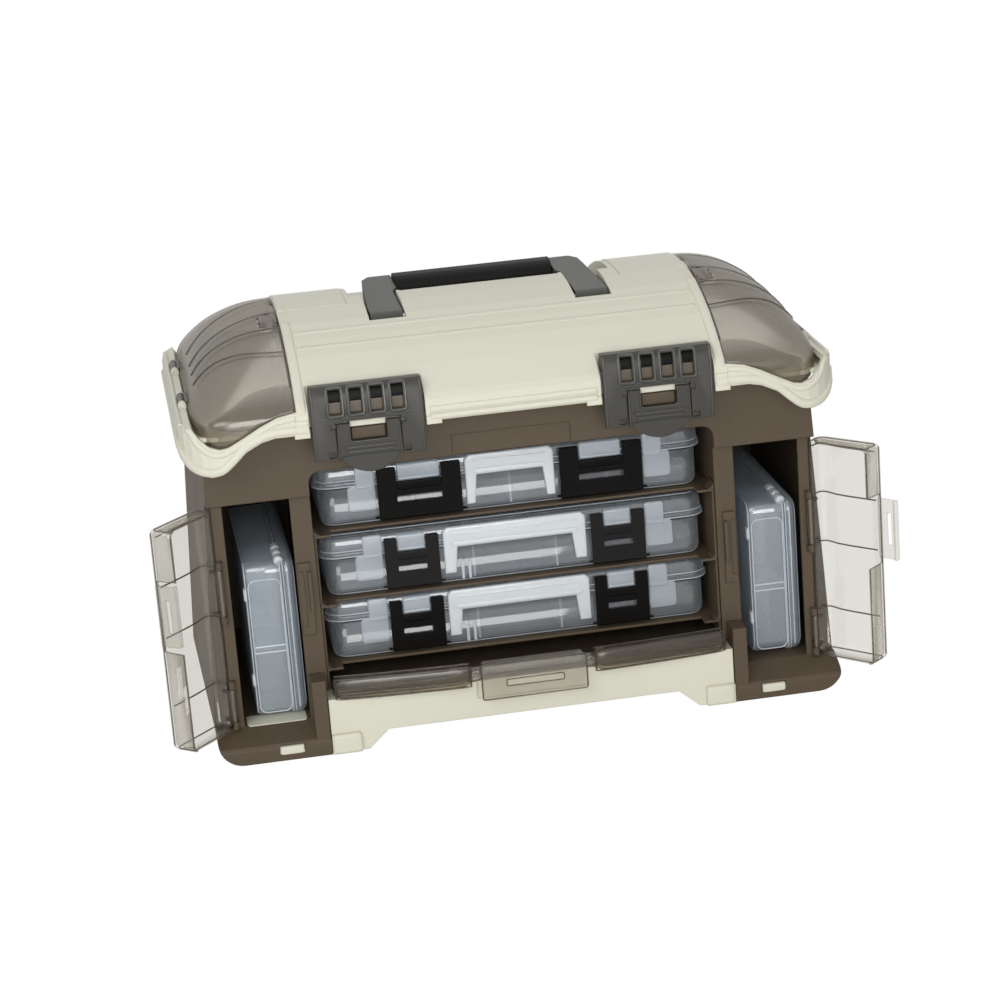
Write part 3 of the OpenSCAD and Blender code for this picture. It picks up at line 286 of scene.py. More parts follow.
# ---------------------------------------------------------------- modelling helpers (millimetres)
# a point from an outline's two coordinates and its place along an axis
ALONG = {"x": lambda u, v, t: (t, u, v), "y": lambda u, v, t: (u, t, v), "z": lambda u, v, t: (u, v, t)}


def rr(x0, x1, y0, y1, r, n=5):
    """Rounded rectangle as a list of (x, y), counter-clockwise."""
    pts = []
    corners = ((x1 - r, y0 + r, -90), (x1 - r, y1 - r, 0), (x0 + r, y1 - r, 90), (x0 + r, y0 + r, 180))
    for cx, cy, a in corners:
        for k in range(n + 1):
            t = math.radians(a + 90 * k / n)
            pts.append((cx + r * math.cos(t), cy + r * math.sin(t)))
    return pts


def circle(r, n=16):
    """A circle round the origin as a list of (u, v)."""
    return [(r * math.cos(t), r * math.sin(t)) for t in (2 * k * math.pi / n for k in range(n))]


def loft(bm, rings, cap0=False, cap1=False, closed=True):
    """Faces from ring to ring, with the first and the last ring filled where asked."""
    rows = [[bm.verts.new(p) for p in ring] for ring in rings]
    for a, b in zip(rows, rows[1:]):
        for i in range(len(a) if closed else len(a) - 1):
            j = (i + 1) % len(a)
            bm.faces.new((a[i], a[j], b[j], b[i]))
    if cap0:
        bm.faces.new(rows[0][::-1])
    if cap1:
        bm.faces.new(rows[-1])
    return rows


def tube(bm, path, r, n=6, closed=False):
    """A thin round bead along a path."""
    p = [Vector(q) for q in path]
    p = [q for i, q in enumerate(p) if i == 0 or (q - p[i - 1]).length > 1e-3]
    up, rings = None, []
    turns = [2 * math.pi * k / n for k in range(n)]
    for i, q in enumerate(p):
        a = p[i - 1] if i or closed else q
        b = p[(i + 1) % len(p)] if i < len(p) - 1 or closed else q
        d = (b - a).normalized()
        if up is None:
            up = d.orthogonal().normalized()
        side = d.cross(up).normalized()
        up = side.cross(d).normalized()
        rings.append([q + r * (math.cos(t) * up + math.sin(t) * side) for t in turns])
    if closed:
        rings.append(rings[0])
    loft(bm, rings, not closed, not closed)


def slab(bm, outline, lo, hi, axis="y"):
    """An outline pushed along an axis. The outline is (x, z) for y, (x, y) for z and (y, z) for x."""
    at = ALONG[axis]
    loft(bm, [[at(u, v, lo) for u, v in outline], [at(u, v, hi) for u, v in outline]], True, True)


def cushion(bm, outline, lo, hi, r, axis="y"):
    """As slab, with its far edge rounded by r. The outline is a function of the inset."""
    at = ALONG[axis]
    sign = 1 if hi > lo else -1
    rings = [[at(u, v, lo) for u, v in outline(0)]]
    for k in range(5):
        a = math.radians(90 * k / 4)
        rings.append([at(u, v, hi - sign * r * (1 - math.sin(a))) for u, v in outline(r * (1 - math.cos(a)))])
    loft(bm, rings, True, True)


def spline(xs, ys, t):
    """Catmull-Rom through (xs, ys) at t."""
    if t <= xs[0]:
        return ys[0]
    if t >= xs[-1]:
        return ys[-1]
    i = max(k for k in range(len(xs) - 1) if xs[k] <= t)
    h = xs[i + 1] - xs[i]
    m0 = (ys[i + 1] - ys[i - 1]) / (xs[i + 1] - xs[i - 1]) if i > 0 else (ys[i + 1] - ys[i]) / h
    m1 = (ys[i + 2] - ys[i]) / (xs[i + 2] - xs[i]) if i + 2 < len(xs) else (ys[i + 1] - ys[i]) / h
    u = (t - xs[i]) / h
    return ((2 * u**3 - 3 * u**2 + 1) * ys[i] + (u**3 - 2 * u**2 + u) * h * m0
            + (3 * u**2 - 2 * u**3) * ys[i + 1] + (u**3 - u**2) * h * m1)


def knuckle(bm, at, levels, n=16):
    """A closed round bar. at turns (u, v, place along the axis) into a point, levels are (place, radius)."""
    loft(bm, [[at(u, v, t) for u, v in circle(r, n)] for t, r in levels], True, True)


def bevel_edges(o, width, segs, angle):
    """A bevel modifier on the edges sharper than the angle."""
    b = o.modifiers.new("edges", "BEVEL")
    b.width = width * MM
    b.segments = segs
    b.limit_method = "ANGLE"
    b.angle_limit = math.radians(angle)
    b.use_clamp_overlap = True


def piece(name, bm, mat, body, hides=(), wall=0, bevel=0, mirror=False, turn=None, sharp=38,
          even=True):
    """Turns a bmesh in millimetres into a piece that rides on a body."""
    bmesh.ops.remove_doubles(bm, verts=bm.verts, dist=0.01)
    m = Matrix.Scale(MM, 4)
    if turn:
        m = m @ turn
    if mirror:
        m = Matrix.Diagonal((-1, 1, 1, 1)) @ m
    bmesh.ops.transform(bm, matrix=m, verts=bm.verts)
    bmesh.ops.recalc_face_normals(bm, faces=bm.faces)
    me = bpy.data.meshes.new(name)
    bm.to_mesh(me)
    bm.free()
    for p in me.polygons:
        p.use_smooth = True
    me.set_sharp_from_angle(angle=math.radians(sharp))
    me.materials.append(mat)
    o = bpy.data.objects.new(name, me)
    scene.collection.objects.link(o)
    if wall:
        s = o.modifiers.new("wall", "SOLIDIFY")
        s.thickness = wall * MM
        s.offset = -1
        s.use_even_offset = even
    if bevel:
        bevel_edges(o, bevel, 2, 40)
    bpy.ops.object.select_all(action="DESELECT")
    o.select_set(True)
    bpy.context.view_layer.objects.active = o
    for m in list(o.modifiers):
        bpy.ops.object.modifier_apply(modifier=m.name)
    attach(o, body)
    if hides:
        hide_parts(*hides)
    return o


def soften(node, width, segs=2):
    """Rounds the edges of a CAD node that stays."""
    bevel_edges(NODES[node], width, segs, 50)


# ---------------------------------------------------------------- utility boxes in the rack
def make_box(name, z, lx, lw):
    """A clear box with its lid: z is its underside, lx and lw the place and width of its latches."""
    body = "box_" + name
    front, back, hw = -82.0, 102.0, 139.7
    # tray
    bm = bmesh.new()
    t = hw - 4
    ring = lambda i, r, h: [(x, y, z + h) for x, y in rr(-t + i, t - i, front + 0.8 + i, back - 0.8 - i, r)]
    levels = ((5, 6, 0), (2, 9, 0.5), (0.6, 10.5, 2.2), (0, 11, 5), (0, 11, 26.5))
    loft(bm, [ring(*level) for level in levels], True, False)
    piece(f"box_{name}_tray_shell", bm, MILKY, body, [f"box_{name}_tray"], wall=1.5)
    # lid
    bm = bmesh.new()
    ring = lambda i, r, h: [(x, y, z + h) for x, y in rr(-hw + i, hw - i, front + i, back - i, r)]
    loft(bm, [ring(0, 13, 28.3), ring(0, 13, 31.5), ring(1.3, 12, 32.5), ring(1.3, 12, 38),
              ring(2.2, 11.2, 41), ring(4.2, 10, 43.3), ring(7.5, 8, 44.5), ring(12, 6, 44.5),
              ring(13.5, 5, 43.5)], False, True)
    piece(f"box_{name}_lid_shell", bm, MILKY, body, [f"box_{name}_lid"], wall=1.5)
    # edges that catch the light
    bm = bmesh.new()
    for i, h, r in ((0.2, 28.4, 13), (1.4, 32.3, 12), (6.5, 44.0, 8)):
        tube(bm, [(x, y, z + h) for x, y in rr(-hw + i, hw - i, front + i, back - i, r)], 0.45, closed=True)
    tube(bm, [(x, y, z + 0.8) for x, y in rr(-t + 2.2, t - 2.2, front + 3, back - 3, 9)], 0.4, closed=True)
    piece(f"box_{name}_edges", bm, MILK_EDGE, body)
    # middle lip between the latches, with a leg down at each end
    bm = bmesh.new()
    narrow = lw < 50
    lip = lx - lw / 2 - 3.5
    leg = low = 8 if narrow else 6
    shape = lambda i: [(-lip + i, z + low + i), (-lip + leg - i, z + low + i),
                       (-lip + leg + 2 - i, z + 27 + i), (lip - leg - 2 + i, z + 27 + i),
                       (lip - leg + i, z + low + i), (lip - i, z + low + i), (lip - i, z + 39 - i),
                       (lip - 3 - i, z + 42 - i), (-lip + 3 + i, z + 42 - i), (-lip + i, z + 39 - i)]
    cushion(bm, shape, front + 0.6, front - 2.6, 1.4)
    for lo, hi, out in ((28.5, 31.5, 3.6), (36.5, 38, 3.2)):
        bar = [(-lip + 6, z + lo), (lip - 6, z + lo), (lip - 6, z + hi), (-lip + 6, z + hi)]
        slab(bm, bar, front - out, front - 1.5)
    piece(f"box_{name}_lip", bm, MILK_DENSE, body, bevel=0.5)
    # pads beside the latches, snap bars in their notches
    bm = bmesh.new()
    for s in (-1, 1):
        for e in (-1, 1):
            x = s * lx + e * (lw / 2 + 9)
            if abs(x) < lip + 2:
                continue
            for far, lo, hi, r, out, edge in ((21, 9.5, 28, 2.5, 0.4, 0.8), (15, 26, 42.5, 2.0, 1.6, 1.0)):
                u, v = sorted((s * lx + e * (lw / 2 + 1.2), s * lx + e * (lw / 2 + far)))
                pad = lambda i: rr(u + i, v - i, z + lo + i, z + hi - i, r)
                cushion(bm, pad, front + 1, front - out, edge)
        w = lw * 0.25
        bar = lambda i: rr(s * lx - w + i, s * lx + w - i, z + 29.5 + i, z + 41.5 - i, 1.4)
        cushion(bm, bar, front + 1, front - 3.4, 1.2)
        for h, out, r in ((31, 3.3, 0.7), (40, 3.2, 0.6)):
            tube(bm, [(s * lx - w + 0.6, front - out, z + h), (s * lx + w - 0.6, front - out, z + h)], r)
    piece(f"box_{name}_pads", bm, MILK_PAD, body)
    # dividers, with brighter top edges
    bm, be = bmesh.new(), bmesh.new()
    for share in (-0.66, -0.215, 0.215, 0.66) if narrow else (-0.5, 0, 0.5):
        x = share * hw
        slab(bm, rr(front + 3.5, back - 3.5, z + 2.2, z + 24, 2), x - 0.6, x + 0.6, "x")
        tube(be, [(x, front + 3.2, z + 2.6), (x, front + 3.2, z + 24), (x, back - 4, z + 24)], 0.8)
    middle = (front + back) / 2
    slab(bm, rr(-t + 2.4, t - 2.4, z + 2.2, z + 24, 2), middle - 0.6, middle + 0.6)
    tube(be, [(-t + 3, middle, z + 24), (t - 3, middle, z + 24)], 0.8)
    # two ribs on the front wall, left of the middle
    for x in (-38.5, -33.5) if narrow else ():
        tube(be, [(x, front + 0.4, z + 2.5), (x, front + 0.4, z + 15)], 1.1)
    piece(f"box_{name}_divider_sheets", bm, MILKY, body, [f"box_{name}_dividers"])
    piece(f"box_{name}_divider_edges", be, MILK_EDGE, body)
    # the bar across each latch
    for side, s in (("left", -1), ("right", 1)):
        latch = f"box_{name}_latch_{side}"
        soften(latch, 0.7, 3)
        face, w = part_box(latch)[0][1] * 1000, lw * 0.25 + 1.2
        bm = bmesh.new()
        bar = lambda i: rr(s * lx - w + i, s * lx + w - i, z + 23 + i, z + 29 - i, 0.8)
        cushion(bm, bar, face + 2.2, face + 0.15, 0.5)
        piece(f"{latch}_bridge", bm, node_material(latch), f"{latch}_body")


# ---------------------------------------------------------------- boxes in the side bays
def make_side_box(side):
    body = f"side_box_{side}"
    x0 = -194.5 if side == "left" else 168.5
    y0, y1, z0, z1 = -90.0, 65.0, 21.8, 137.8
    seam = x0 + 27
    ring = lambda x, i: [(x, y, z) for y, z in rr(y0 + 1 + i, y1 - 1 - i, z0 + 1 + i, z1 - 1 - i,
                                                  max(8 - 0.6 * i, 3))]
    bm = bmesh.new()
    loft(bm, [ring(x0, 3), ring(x0 + 0.6, 1.2), ring(x0 + 2.4, 0), ring(seam - 3, 0), ring(seam - 2.4, -0.7),
              ring(seam, -0.7)], True, False)
    piece(f"{body}_tray_shell", bm, MILKY_SIDE, body, [f"{body}_tray"], wall=1.5)
    ring = lambda x, i: [(x, y, z) for y, z in rr(y0 + i, y1 - i, z0 + i, z1 - i, max(9 - 0.6 * i, 3))]
    bm = bmesh.new()
    loft(bm, [ring(seam + 0.4, 0), ring(seam + 5, 0.2), ring(seam + 7.6, 1.6), ring(seam + 8.8, 4),
              ring(seam + 9, 8)], False, True)
    piece(f"{body}_lid_shell", bm, MILKY_SIDE, body, [f"{body}_lid"], wall=1.5)
    bm = bmesh.new()
    for x, i in ((seam - 1.2, 0.2), (seam + 0.6, 0), (seam + 8.2, 3.2), (x0 + 0.5, 1.8)):
        tube(bm, [(x, y, z) for y, z in rr(y0 + i, y1 - i, z0 + i, z1 - i, 8)], 0.4, closed=True)
    # raised border on the front, the divider's two lines, and a line on the lid
    tube(bm, [(x, y0 + 0.7, z) for x, z in rr(x0 + 2.4, seam - 2.0, z0 + 4, z1 - 13, 5)], 0.45, closed=True)
    for h in (49, 53.5):
        tube(bm, [(x0 + 3, y0 + 1, z0 + h), (seam - 2, y0 + 1, z0 + h)], 0.6)
    lid_line = ((y0 + 0.6, z0 + 6), (y0 + 0.6, z1 - 10), (y0 + 5, z1 - 3))
    tube(bm, [(seam + 3.6, y, z) for y, z in lid_line], 0.5)
    piece(f"{body}_edges", bm, MILK_EDGE, body)
    # hinge knuckles on the seam, catches on the side
    bm = bmesh.new()
    on_seam = lambda u, v, t: (seam - 1.4 + u, t, z1 - 1.6 + v)
    for y in (-86, -73, -60):
        knuckle(bm, on_seam, ((y, 2.6), (y + 1, 3.4), (y + 8, 3.4), (y + 9, 2.6)))
    for h in (24, 88):
        catch = lambda i: rr(y0 + 1.5 + i, y0 + 8 - i, z0 + h + i, z0 + h + 9 - i, 1.5)
        cushion(bm, catch, x0 + 1, x0 - 1.2, 1.0, "x")
    piece(f"{body}_knuckles", bm, MILK_DENSE, body, bevel=0.5)
    bm = bmesh.new()
    slab(bm, rr(x0 + 2.2, seam - 2.4, y0 + 3, y1 - 3, 1.5), z0 + 50.4, z0 + 51.8, "z")
    for y in (-38.3, 18.5):
        slab(bm, rr(x0 + 2.2, seam - 2.4, z0 + 3, z1 - 3, 1.5), y - 0.7, y + 0.7)
    piece(f"{body}_dividers", bm, MILKY, body, [f"{body}_divider"])


# ---------------------------------------------------------------- side doors
DOOR_PIVOT = (211.5, -102.5)
DOOR_OPEN = 132  # degrees


def door_turn():
    """From shut to the folded-back place of the photograph."""
    a = Vector((*DOOR_PIVOT, 0))
    return Matrix.Translation(a) @ Matrix.Rotation(math.radians(DOOR_OPEN), 4, "Z") @ Matrix.Translation(-a)


def door_section(inset, z):
    """The shut door from its free edge round its face to its hinge edge, at a height."""
    x0, x1, f = 160.5 + inset, 212.5 - inset, -118.5 + inset
    return [(x0, -99.4, z), (x0, -112, z), (x0, f + 2.4, z), (x0 + 0.8, f + 0.8, z), (x0 + 2.4, f, z),
            (x0 + 12, f, z), (x0 + 26, f, z), (x1 - 12, f, z), (x1 - 6.5, f, z), (x1 - 4.0, f + 0.5, z),
            (x1 - 2.0, f + 1.5, z), (x1 - 0.7, f + 3.0, z), (x1, f + 5.5, z), (x1, -109.5, z),
            (x1, -106.2, z)]


def make_side_door(side):
    body, flip, turn = f"door_{side}", side == "left", door_turn()
    z0, z1 = 22.5, 184.0
    # pan: hinge wall, ridge, face and flange, closed above and below
    bm = bmesh.new()
    levels = [(4.5, z0), (2.2, z0 + 0.5), (0.7, z0 + 1.9), (0, z0 + 4), (0, 95.0), (0, 99.0), (0, 143.0),
              (0, 147.0), (0, z1 - 4), (0.7, z1 - 1.9), (2.2, z1 - 0.5), (4.5, z1)]
    rows = loft(bm, [door_section(i, z) for i, z in levels], closed=False)
    # closed ends
    for row in (rows[0], rows[-1]):
        mid = [bm.verts.new((v.co.x, -106.4 if v.co.x > 204 else -101.0, v.co.z)) for v in row]
        for i in range(2, len(row) - 2):
            bm.faces.new((row[i], row[i + 1], mid[i + 1], mid[i]))
    # the free edge is open round the latch tab
    open_here = lambda c: c.x < 161.5 and 95 < c.z < 147 and c.y > -116.5
    gone = [f for f in bm.faces if open_here(f.calc_center_median())]
    bmesh.ops.delete(bm, geom=gone, context="FACES")
    piece(f"side_door_{side}_pan", bm, SMOKE, body, [f"side_door_{side}"], wall=2.0,
          mirror=flip, turn=turn, sharp=60, even=False)
    # dark edges and steps
    bm = bmesh.new()
    sec = lambda z, i=0.0: [Vector(p) for p in door_section(i, z)]
    tube(bm, [(161.5, -99.8, z0 + 3), (161.5, -99.8, 94.6), (161.5, -116, 95.4), (161.5, -116.4, 146.6),
              (161.5, -99.8, 147.4), (161.5, -99.8, z1 - 3)], 0.5)
    tube(bm, [(161.9, -117.1, z0 + 3), (161.9, -117.1, z1 - 3)], 0.45)
    tube(bm, [(211.4, -106.6, z0 + 3), (211.4, -106.6, z1 - 3)], 0.5)
    for z in (z0 + 1.4, z1 - 1.4):
        tube(bm, sec(z, 2.4), 0.5)
    for z in (z0 + 1, z1 - 1):
        tube(bm, [(164, -101.6, z), (204, -101.8, z), (208, -106.6, z)], 0.45)
    for z in (54.0, 104.0, 141.0, 177.0):
        tube(bm, [p + Vector((0, 0, 1.6 * min(max((p.x - 196) / 12, 0), 1))) for p in sec(z, 2.2)[4:]], 0.55)
    piece(f"side_door_{side}_edges", bm, SMOKE_EDGE, body, mirror=flip, turn=turn)
    # hinge knuckles and the arms that join them to the pan
    bm = bmesh.new()
    on_pivot = lambda u, v, t: (DOOR_PIVOT[0] + u, DOOR_PIVOT[1] + v, t)
    for a, b in ((27.5, 51.5), (106.0, 140.0)):
        knuckle(bm, on_pivot, ((a, 2.0), (a + 0.7, 2.9), (b - 0.7, 2.9), (b, 2.0)))
        for z in (a + 1.5, b - 1.5):
            slab(bm, [(209.5, -104), (212.6, -104), (212.6, -108), (209.5, -110)], z - 1.3, z + 1.3, "z")
    piece(f"side_door_{side}_knuckles", bm, SMOKE_DARK, body, mirror=flip, turn=turn,
          bevel=0.4)
    soften(f"door_latch_{side}", 0.6, 3)


# ---------------------------------------------------------------- front door
def make_front_door():
    body = "front_door_panel"
    # the lip is an arc over the door's width, whose middle stands out by the bow
    half, bow, y0 = 141.5, 9.0, -118.5
    radius = (half * half + bow * bow) / (2 * bow)
    lip_y = lambda x: y0 - math.sqrt(radius * radius - x * x) + radius - bow
    bm = bmesh.new()
    cushion(bm, lambda i: rr(-half + i, half - i, y0 + 0.5 + i, y0 + 177 - i, 5), 44.0, 46.2, 0.8, "z")
    piece("front_door_pane", bm, SMOKE_DARK, body, ["front_door"])
    # raised lip to the left and right of the tab
    for side, a, b in (("left", -half, -43.5), ("right", 43.5, half)):
        bm = bmesh.new()
        rows = []
        n = 22
        for k in range(n + 1):
            x = a + (b - a) * k / n
            end = min(k, n - k)
            drop = (3.2, 1.2, 0.3)[end] if end < 3 else 0
            y = lip_y(x) + (1.6 if end == 0 else 0)
            over = ((8, 54.3), (2, 54.5), (0.6, 53.9), (0, 52.4))
            under = ((0, 41.5), (0.5, 39.8), (2, 38.9), (6, 38.6))
            rows.append([(x, y + d, z - drop) for d, z in over] + [(x, y + d, z + drop) for d, z in under])
        loft(bm, rows, closed=False)
        piece(f"front_door_lip_{side}", bm, LIP, body, wall=1.8, sharp=60)
        bm = bmesh.new()
        xs = [a + 1.5 + (b - a - 3) * k / n for k in range(n + 1)]
        top = [(x, lip_y(x) + 1.0, 53.9) for x in xs]
        low = [(x, lip_y(x) + 0.8, 39.6) for x in reversed(xs)]
        tube(bm, top + low, 0.7, closed=True)
        tube(bm, [(x, lip_y(x) + 0.3, 43.4) for x in xs[1:-1]], 0.6)
        tube(bm, [(x, lip_y(x) + 8, 54.2) for x in xs], 0.7)
        piece(f"front_door_lip_edges_{side}", bm, SMOKE_EDGE, body)
    # a low bridge on each side of the tab, and the tab with its slot
    bm = bmesh.new()
    for a, b in ((-44.5, -37), (37, 44.5)):
        cushion(bm, lambda i: rr(a + i, b - i, 44 + i, 51 - i, 1.5), lip_y(40) + 8, lip_y(40) + 0.6, 0.8)
    y = y0 - bow - 2.4
    outer, slot = rr(-38, 38, 29.2, 55.4, 1.6), rr(-20, 21, 38, 43, 1.0)
    for u in (y, y + 2.2):
        ring = [bm.verts.new((p, u, q)) for p, q in outer] + [bm.verts.new((p, u, q)) for p, q in slot]
        edges = []
        for start, n in ((0, len(outer)), (len(outer), len(slot))):
            edges += [bm.edges.new((ring[start + k], ring[start + (k + 1) % n])) for k in range(n)]
        bmesh.ops.triangle_fill(bm, use_beauty=True, use_dissolve=False, edges=edges)
    for loop in (outer, slot):
        loft(bm, [[(p, y, q) for p, q in loop], [(p, y + 2.2, q) for p, q in loop]])
    cushion(bm, lambda i: rr(-36 + i, 36 - i, 50 + i, 55 - i, 1.2), lip_y(0) + 8, y + 1.5, 0.8)
    piece("front_door_tab", bm, SMOKE_LIGHT, body, bevel=0.35)
    bm = bmesh.new()
    for outline, r in ((rr(-37.6, 37.6, 29.6, 55, 1.6), 0.55), (slot, 0.4)):
        tube(bm, [(p, y + 0.2, q) for p, q in outline], r, closed=True)
    piece("front_door_tab_edges", bm, SMOKE_EDGE, body)


# ---------------------------------------------------------------- end covers
# half width, height over DOME_LOW, inset from DOME_HALF in depth, and roundness, at nine levels
DOME_X = (71.5, 70.5, 67.5, 62, 55, 46, 35, 22, 8)
DOME_Z = (12, 17, 26, 35, 43, 50, 56, 60.5, 63.4)
DOME_Y = (0.5, 2.5, 12, 24, 38, 54, 71, 90, 112)
DOME_N = (8, 7, 5, 4, 3.5, 3.2, 3, 2.8, 2.6)
DOME_MIDDLE, DOME_HALF, DOME_LOW = 149, 130, 237
COVER_PIVOT = (223, 250.5)  # x and z of its hinge
# the lower edge of the cover along its front, as (x, z)
WINDOW = ((149, 253), (162, 251), (174, 246), (188, 238.5), (197, 234), (203, 233), (210, 235.5),
          (216, 241), (220.5, 248))
# the gap in the cover's inner edge over the snap block, in y
SNAP_GAP = (-47, -22)


def dome_level(s):
    """Half width, half depth, exponent and height of the dome at level s from 0 to 8.

    Below 0 the wall runs straight down."""
    k = list(range(9))
    if s < 0:
        return DOME_X[0], DOME_HALF - DOME_Y[0], DOME_N[0], DOME_LOW + DOME_Z[0] + 13 * s
    f = lambda v: spline(k, v, s)
    return f(DOME_X), DOME_HALF - f(DOME_Y), f(DOME_N), DOME_LOW + f(DOME_Z)


def dome_point(s, phi, inset=0.5):
    """A point of the dome at a level and a direction, inset from its outer face."""
    a, b, n, z = dome_level(s)
    c, t = math.cos(phi), math.sin(phi)
    r = (abs(c) ** n + abs(t) ** n) ** (-1 / n)
    x = DOME_MIDDLE + max(a * r * c - inset, 0)
    return Vector((x, b * r * t * (1 - inset / max(b, 20)), z - inset))


def window_z(x):
    return spline([p[0] for p in WINDOW], [p[1] for p in WINDOW], x)


def dome_foot(phi):
    """The level where the cover's edge crosses this direction."""
    lo, hi = -1.3, 2.0
    for _ in range(30):
        mid = (lo + hi) / 2
        p = dome_point(mid, phi)
        if p.z > window_z(p.x + 0.5) + 0.4:
            hi = mid
        else:
            lo = mid
    return hi


def dome_over(x, y):
    """A point of the dome above (x, y)."""
    lo, hi = 0.0, 8.0
    for _ in range(30):
        mid = (lo + hi) / 2
        a, b, n = dome_level(mid)[:3]
        if (abs(x - DOME_MIDDLE) / a) ** n + (abs(y) / b) ** n < 1:
            lo = mid
        else:
            hi = mid
    return Vector((x, y, dome_level(lo)[3] - 0.4))


def make_cover(side):
    body, flip = f"cover_{side}", side == "left"
    cols = [math.radians(-90 + 180 * k / 72) for k in range(73)]
    feet = [dome_foot(p) for p in cols]
    bm = bmesh.new()
    n, inner_x, top = 30, 149.6, 300.6
    rows = [[dome_point(f + (8 - f) * k / n, p) for p, f in zip(cols, feet)] for k in range(n + 1)]
    for r in rows:
        for p in r:
            p.x = max(p.x, inner_x)
    rows.append([Vector((inner_x + (p.x - inner_x) * 0.3, p.y * 0.3, top)) for p in rows[-1]])
    loft(bm, rows, closed=False)
    open_here = lambda c: c.x < 163 and SNAP_GAP[0] < c.y < SNAP_GAP[1] - 0.5
    gone = [f for f in bm.faces if open_here(f.calc_center_median())]
    bmesh.ops.delete(bm, geom=gone, context="FACES")
    piece(f"end_cover_{side}_dome", bm, COVER, body, [f"end_cover_{side}"], wall=2.0,
          mirror=flip, sharp=70, even=False)
    # dark rim, inner edge and ribs
    bm = bmesh.new()
    foot = [dome_point(f + 0.04, p, 1.3) for p, f in zip(cols, feet)]
    tube(bm, foot, 1.0)
    inner = [Vector((150.0, q.y, q.z - 0.8)) for q in (dome_over(149.2, y) for y in range(-112, 113, 4))]
    tube(bm, [q for q in inner if q.y < SNAP_GAP[0]], 0.8)
    tube(bm, [q for q in inner if q.y > SNAP_GAP[1]], 0.8)
    on_dome = lambda x, v: ((x - DOME_MIDDLE) / DOME_X[0]) ** 4 + (abs(v) / 129) ** 4 < 0.96
    for y, out in ((-80.0, 14), (-50.0, 6), (-20.5, 2), (24.0, -6)):
        path = [(150 + 4 * k, y + out * math.sin(math.pi * k / 34) ** 2) for k in range(17)]
        tube(bm, [dome_over(x, v) - Vector((0, 0, 0.8)) for x, v in path if on_dome(x, v)], 0.85)
    piece(f"end_cover_{side}_edges", bm, SMOKE_EDGE, body, mirror=flip)
    # hinge knuckles at the outer edge
    bm = bmesh.new()
    on_pivot = lambda u, v, t: (COVER_PIVOT[0] + u, t, COVER_PIVOT[1] + v)
    for k in (-50, 50):
        knuckle(bm, on_pivot, ((k - 12, 2.0), (k - 11.2, 2.9), (k + 11.2, 2.9), (k + 12, 2.0)))
        slab(bm, rr(216.5, 223, k - 11.5, k + 11.5, 1), 249.8, 252.6, "z")
    piece(f"end_cover_{side}_knuckles", bm, SMOKE_DARK, body, mirror=flip, bevel=0.4)


# ---------------------------------------------------------------- lid: rim, creases, bands
# the lid's middle from its front edge up, as (y, z), and the lower edge of its rim at the right, as (x, z)
LID_SIDE = ((-130, 250), (-127, 256), (-117, 264), (-106, 272), (-90, 281), (-72, 288.5), (-50, 295.5),
            (-26, 300), (-10, 301), (0, 301))
RIM_LOW = ((141, 237.4), (165, 237.2), (174, 235), (186, 229), (195, 221), (202, 215.6), (210, 214),
           (220, 216.5), (227, 223), (230, 232))
RIM_BEADS = ((239.8, 1.7, 2.3), (245.0, 1.0, 2.2))  # height, how far proud, half height
CORNER_X, CORNER_R = 200, 30


def lid_top(y):
    """Height of the lid's middle at y."""
    k = max(i for i in range(len(LID_SIDE) - 1) if LID_SIDE[i][0] <= y or i == 0)
    (a, za), (b, zb) = LID_SIDE[k], LID_SIDE[k + 1]
    return za + (zb - za) * (y - a) / (b - a)


def rim_plan(x, grow):
    """Front of the lid's plan at x, which turns back round the corner."""
    if x <= CORNER_X:
        return -130 - grow
    return -100 - math.sqrt(max((CORNER_R + grow) ** 2 - (x - CORNER_X) ** 2, 0))


def rim_normal(x):
    """The way the rim faces at x, seen from above."""
    nx = 0 if x < CORNER_X else (x - CORNER_X) / CORNER_R
    return nx, -math.sqrt(1 - nx * nx), 0


def band(bm, path, out, up):
    """A soft flat bead along a path: out is how far it stands proud, up half its height."""
    rings = []
    turns = [math.radians(q) for q in (-150, -120, -90, -65, -40, -15, 15, 40, 65, 90, 120, 150)]
    for i, (p, n) in enumerate(path):
        p, n = Vector(p), Vector(n).normalized()
        a, b = Vector(path[max(i - 1, 0)][0]), Vector(path[min(i + 1, len(path) - 1)][0])
        v = (b - a).normalized().cross(n).normalized()
        if v.z < 0:
            v = -v
        rings.append([p + n * (out * math.cos(t)) + v * (up * math.sin(t)) for t in turns])
    loft(bm, rings, True, True)


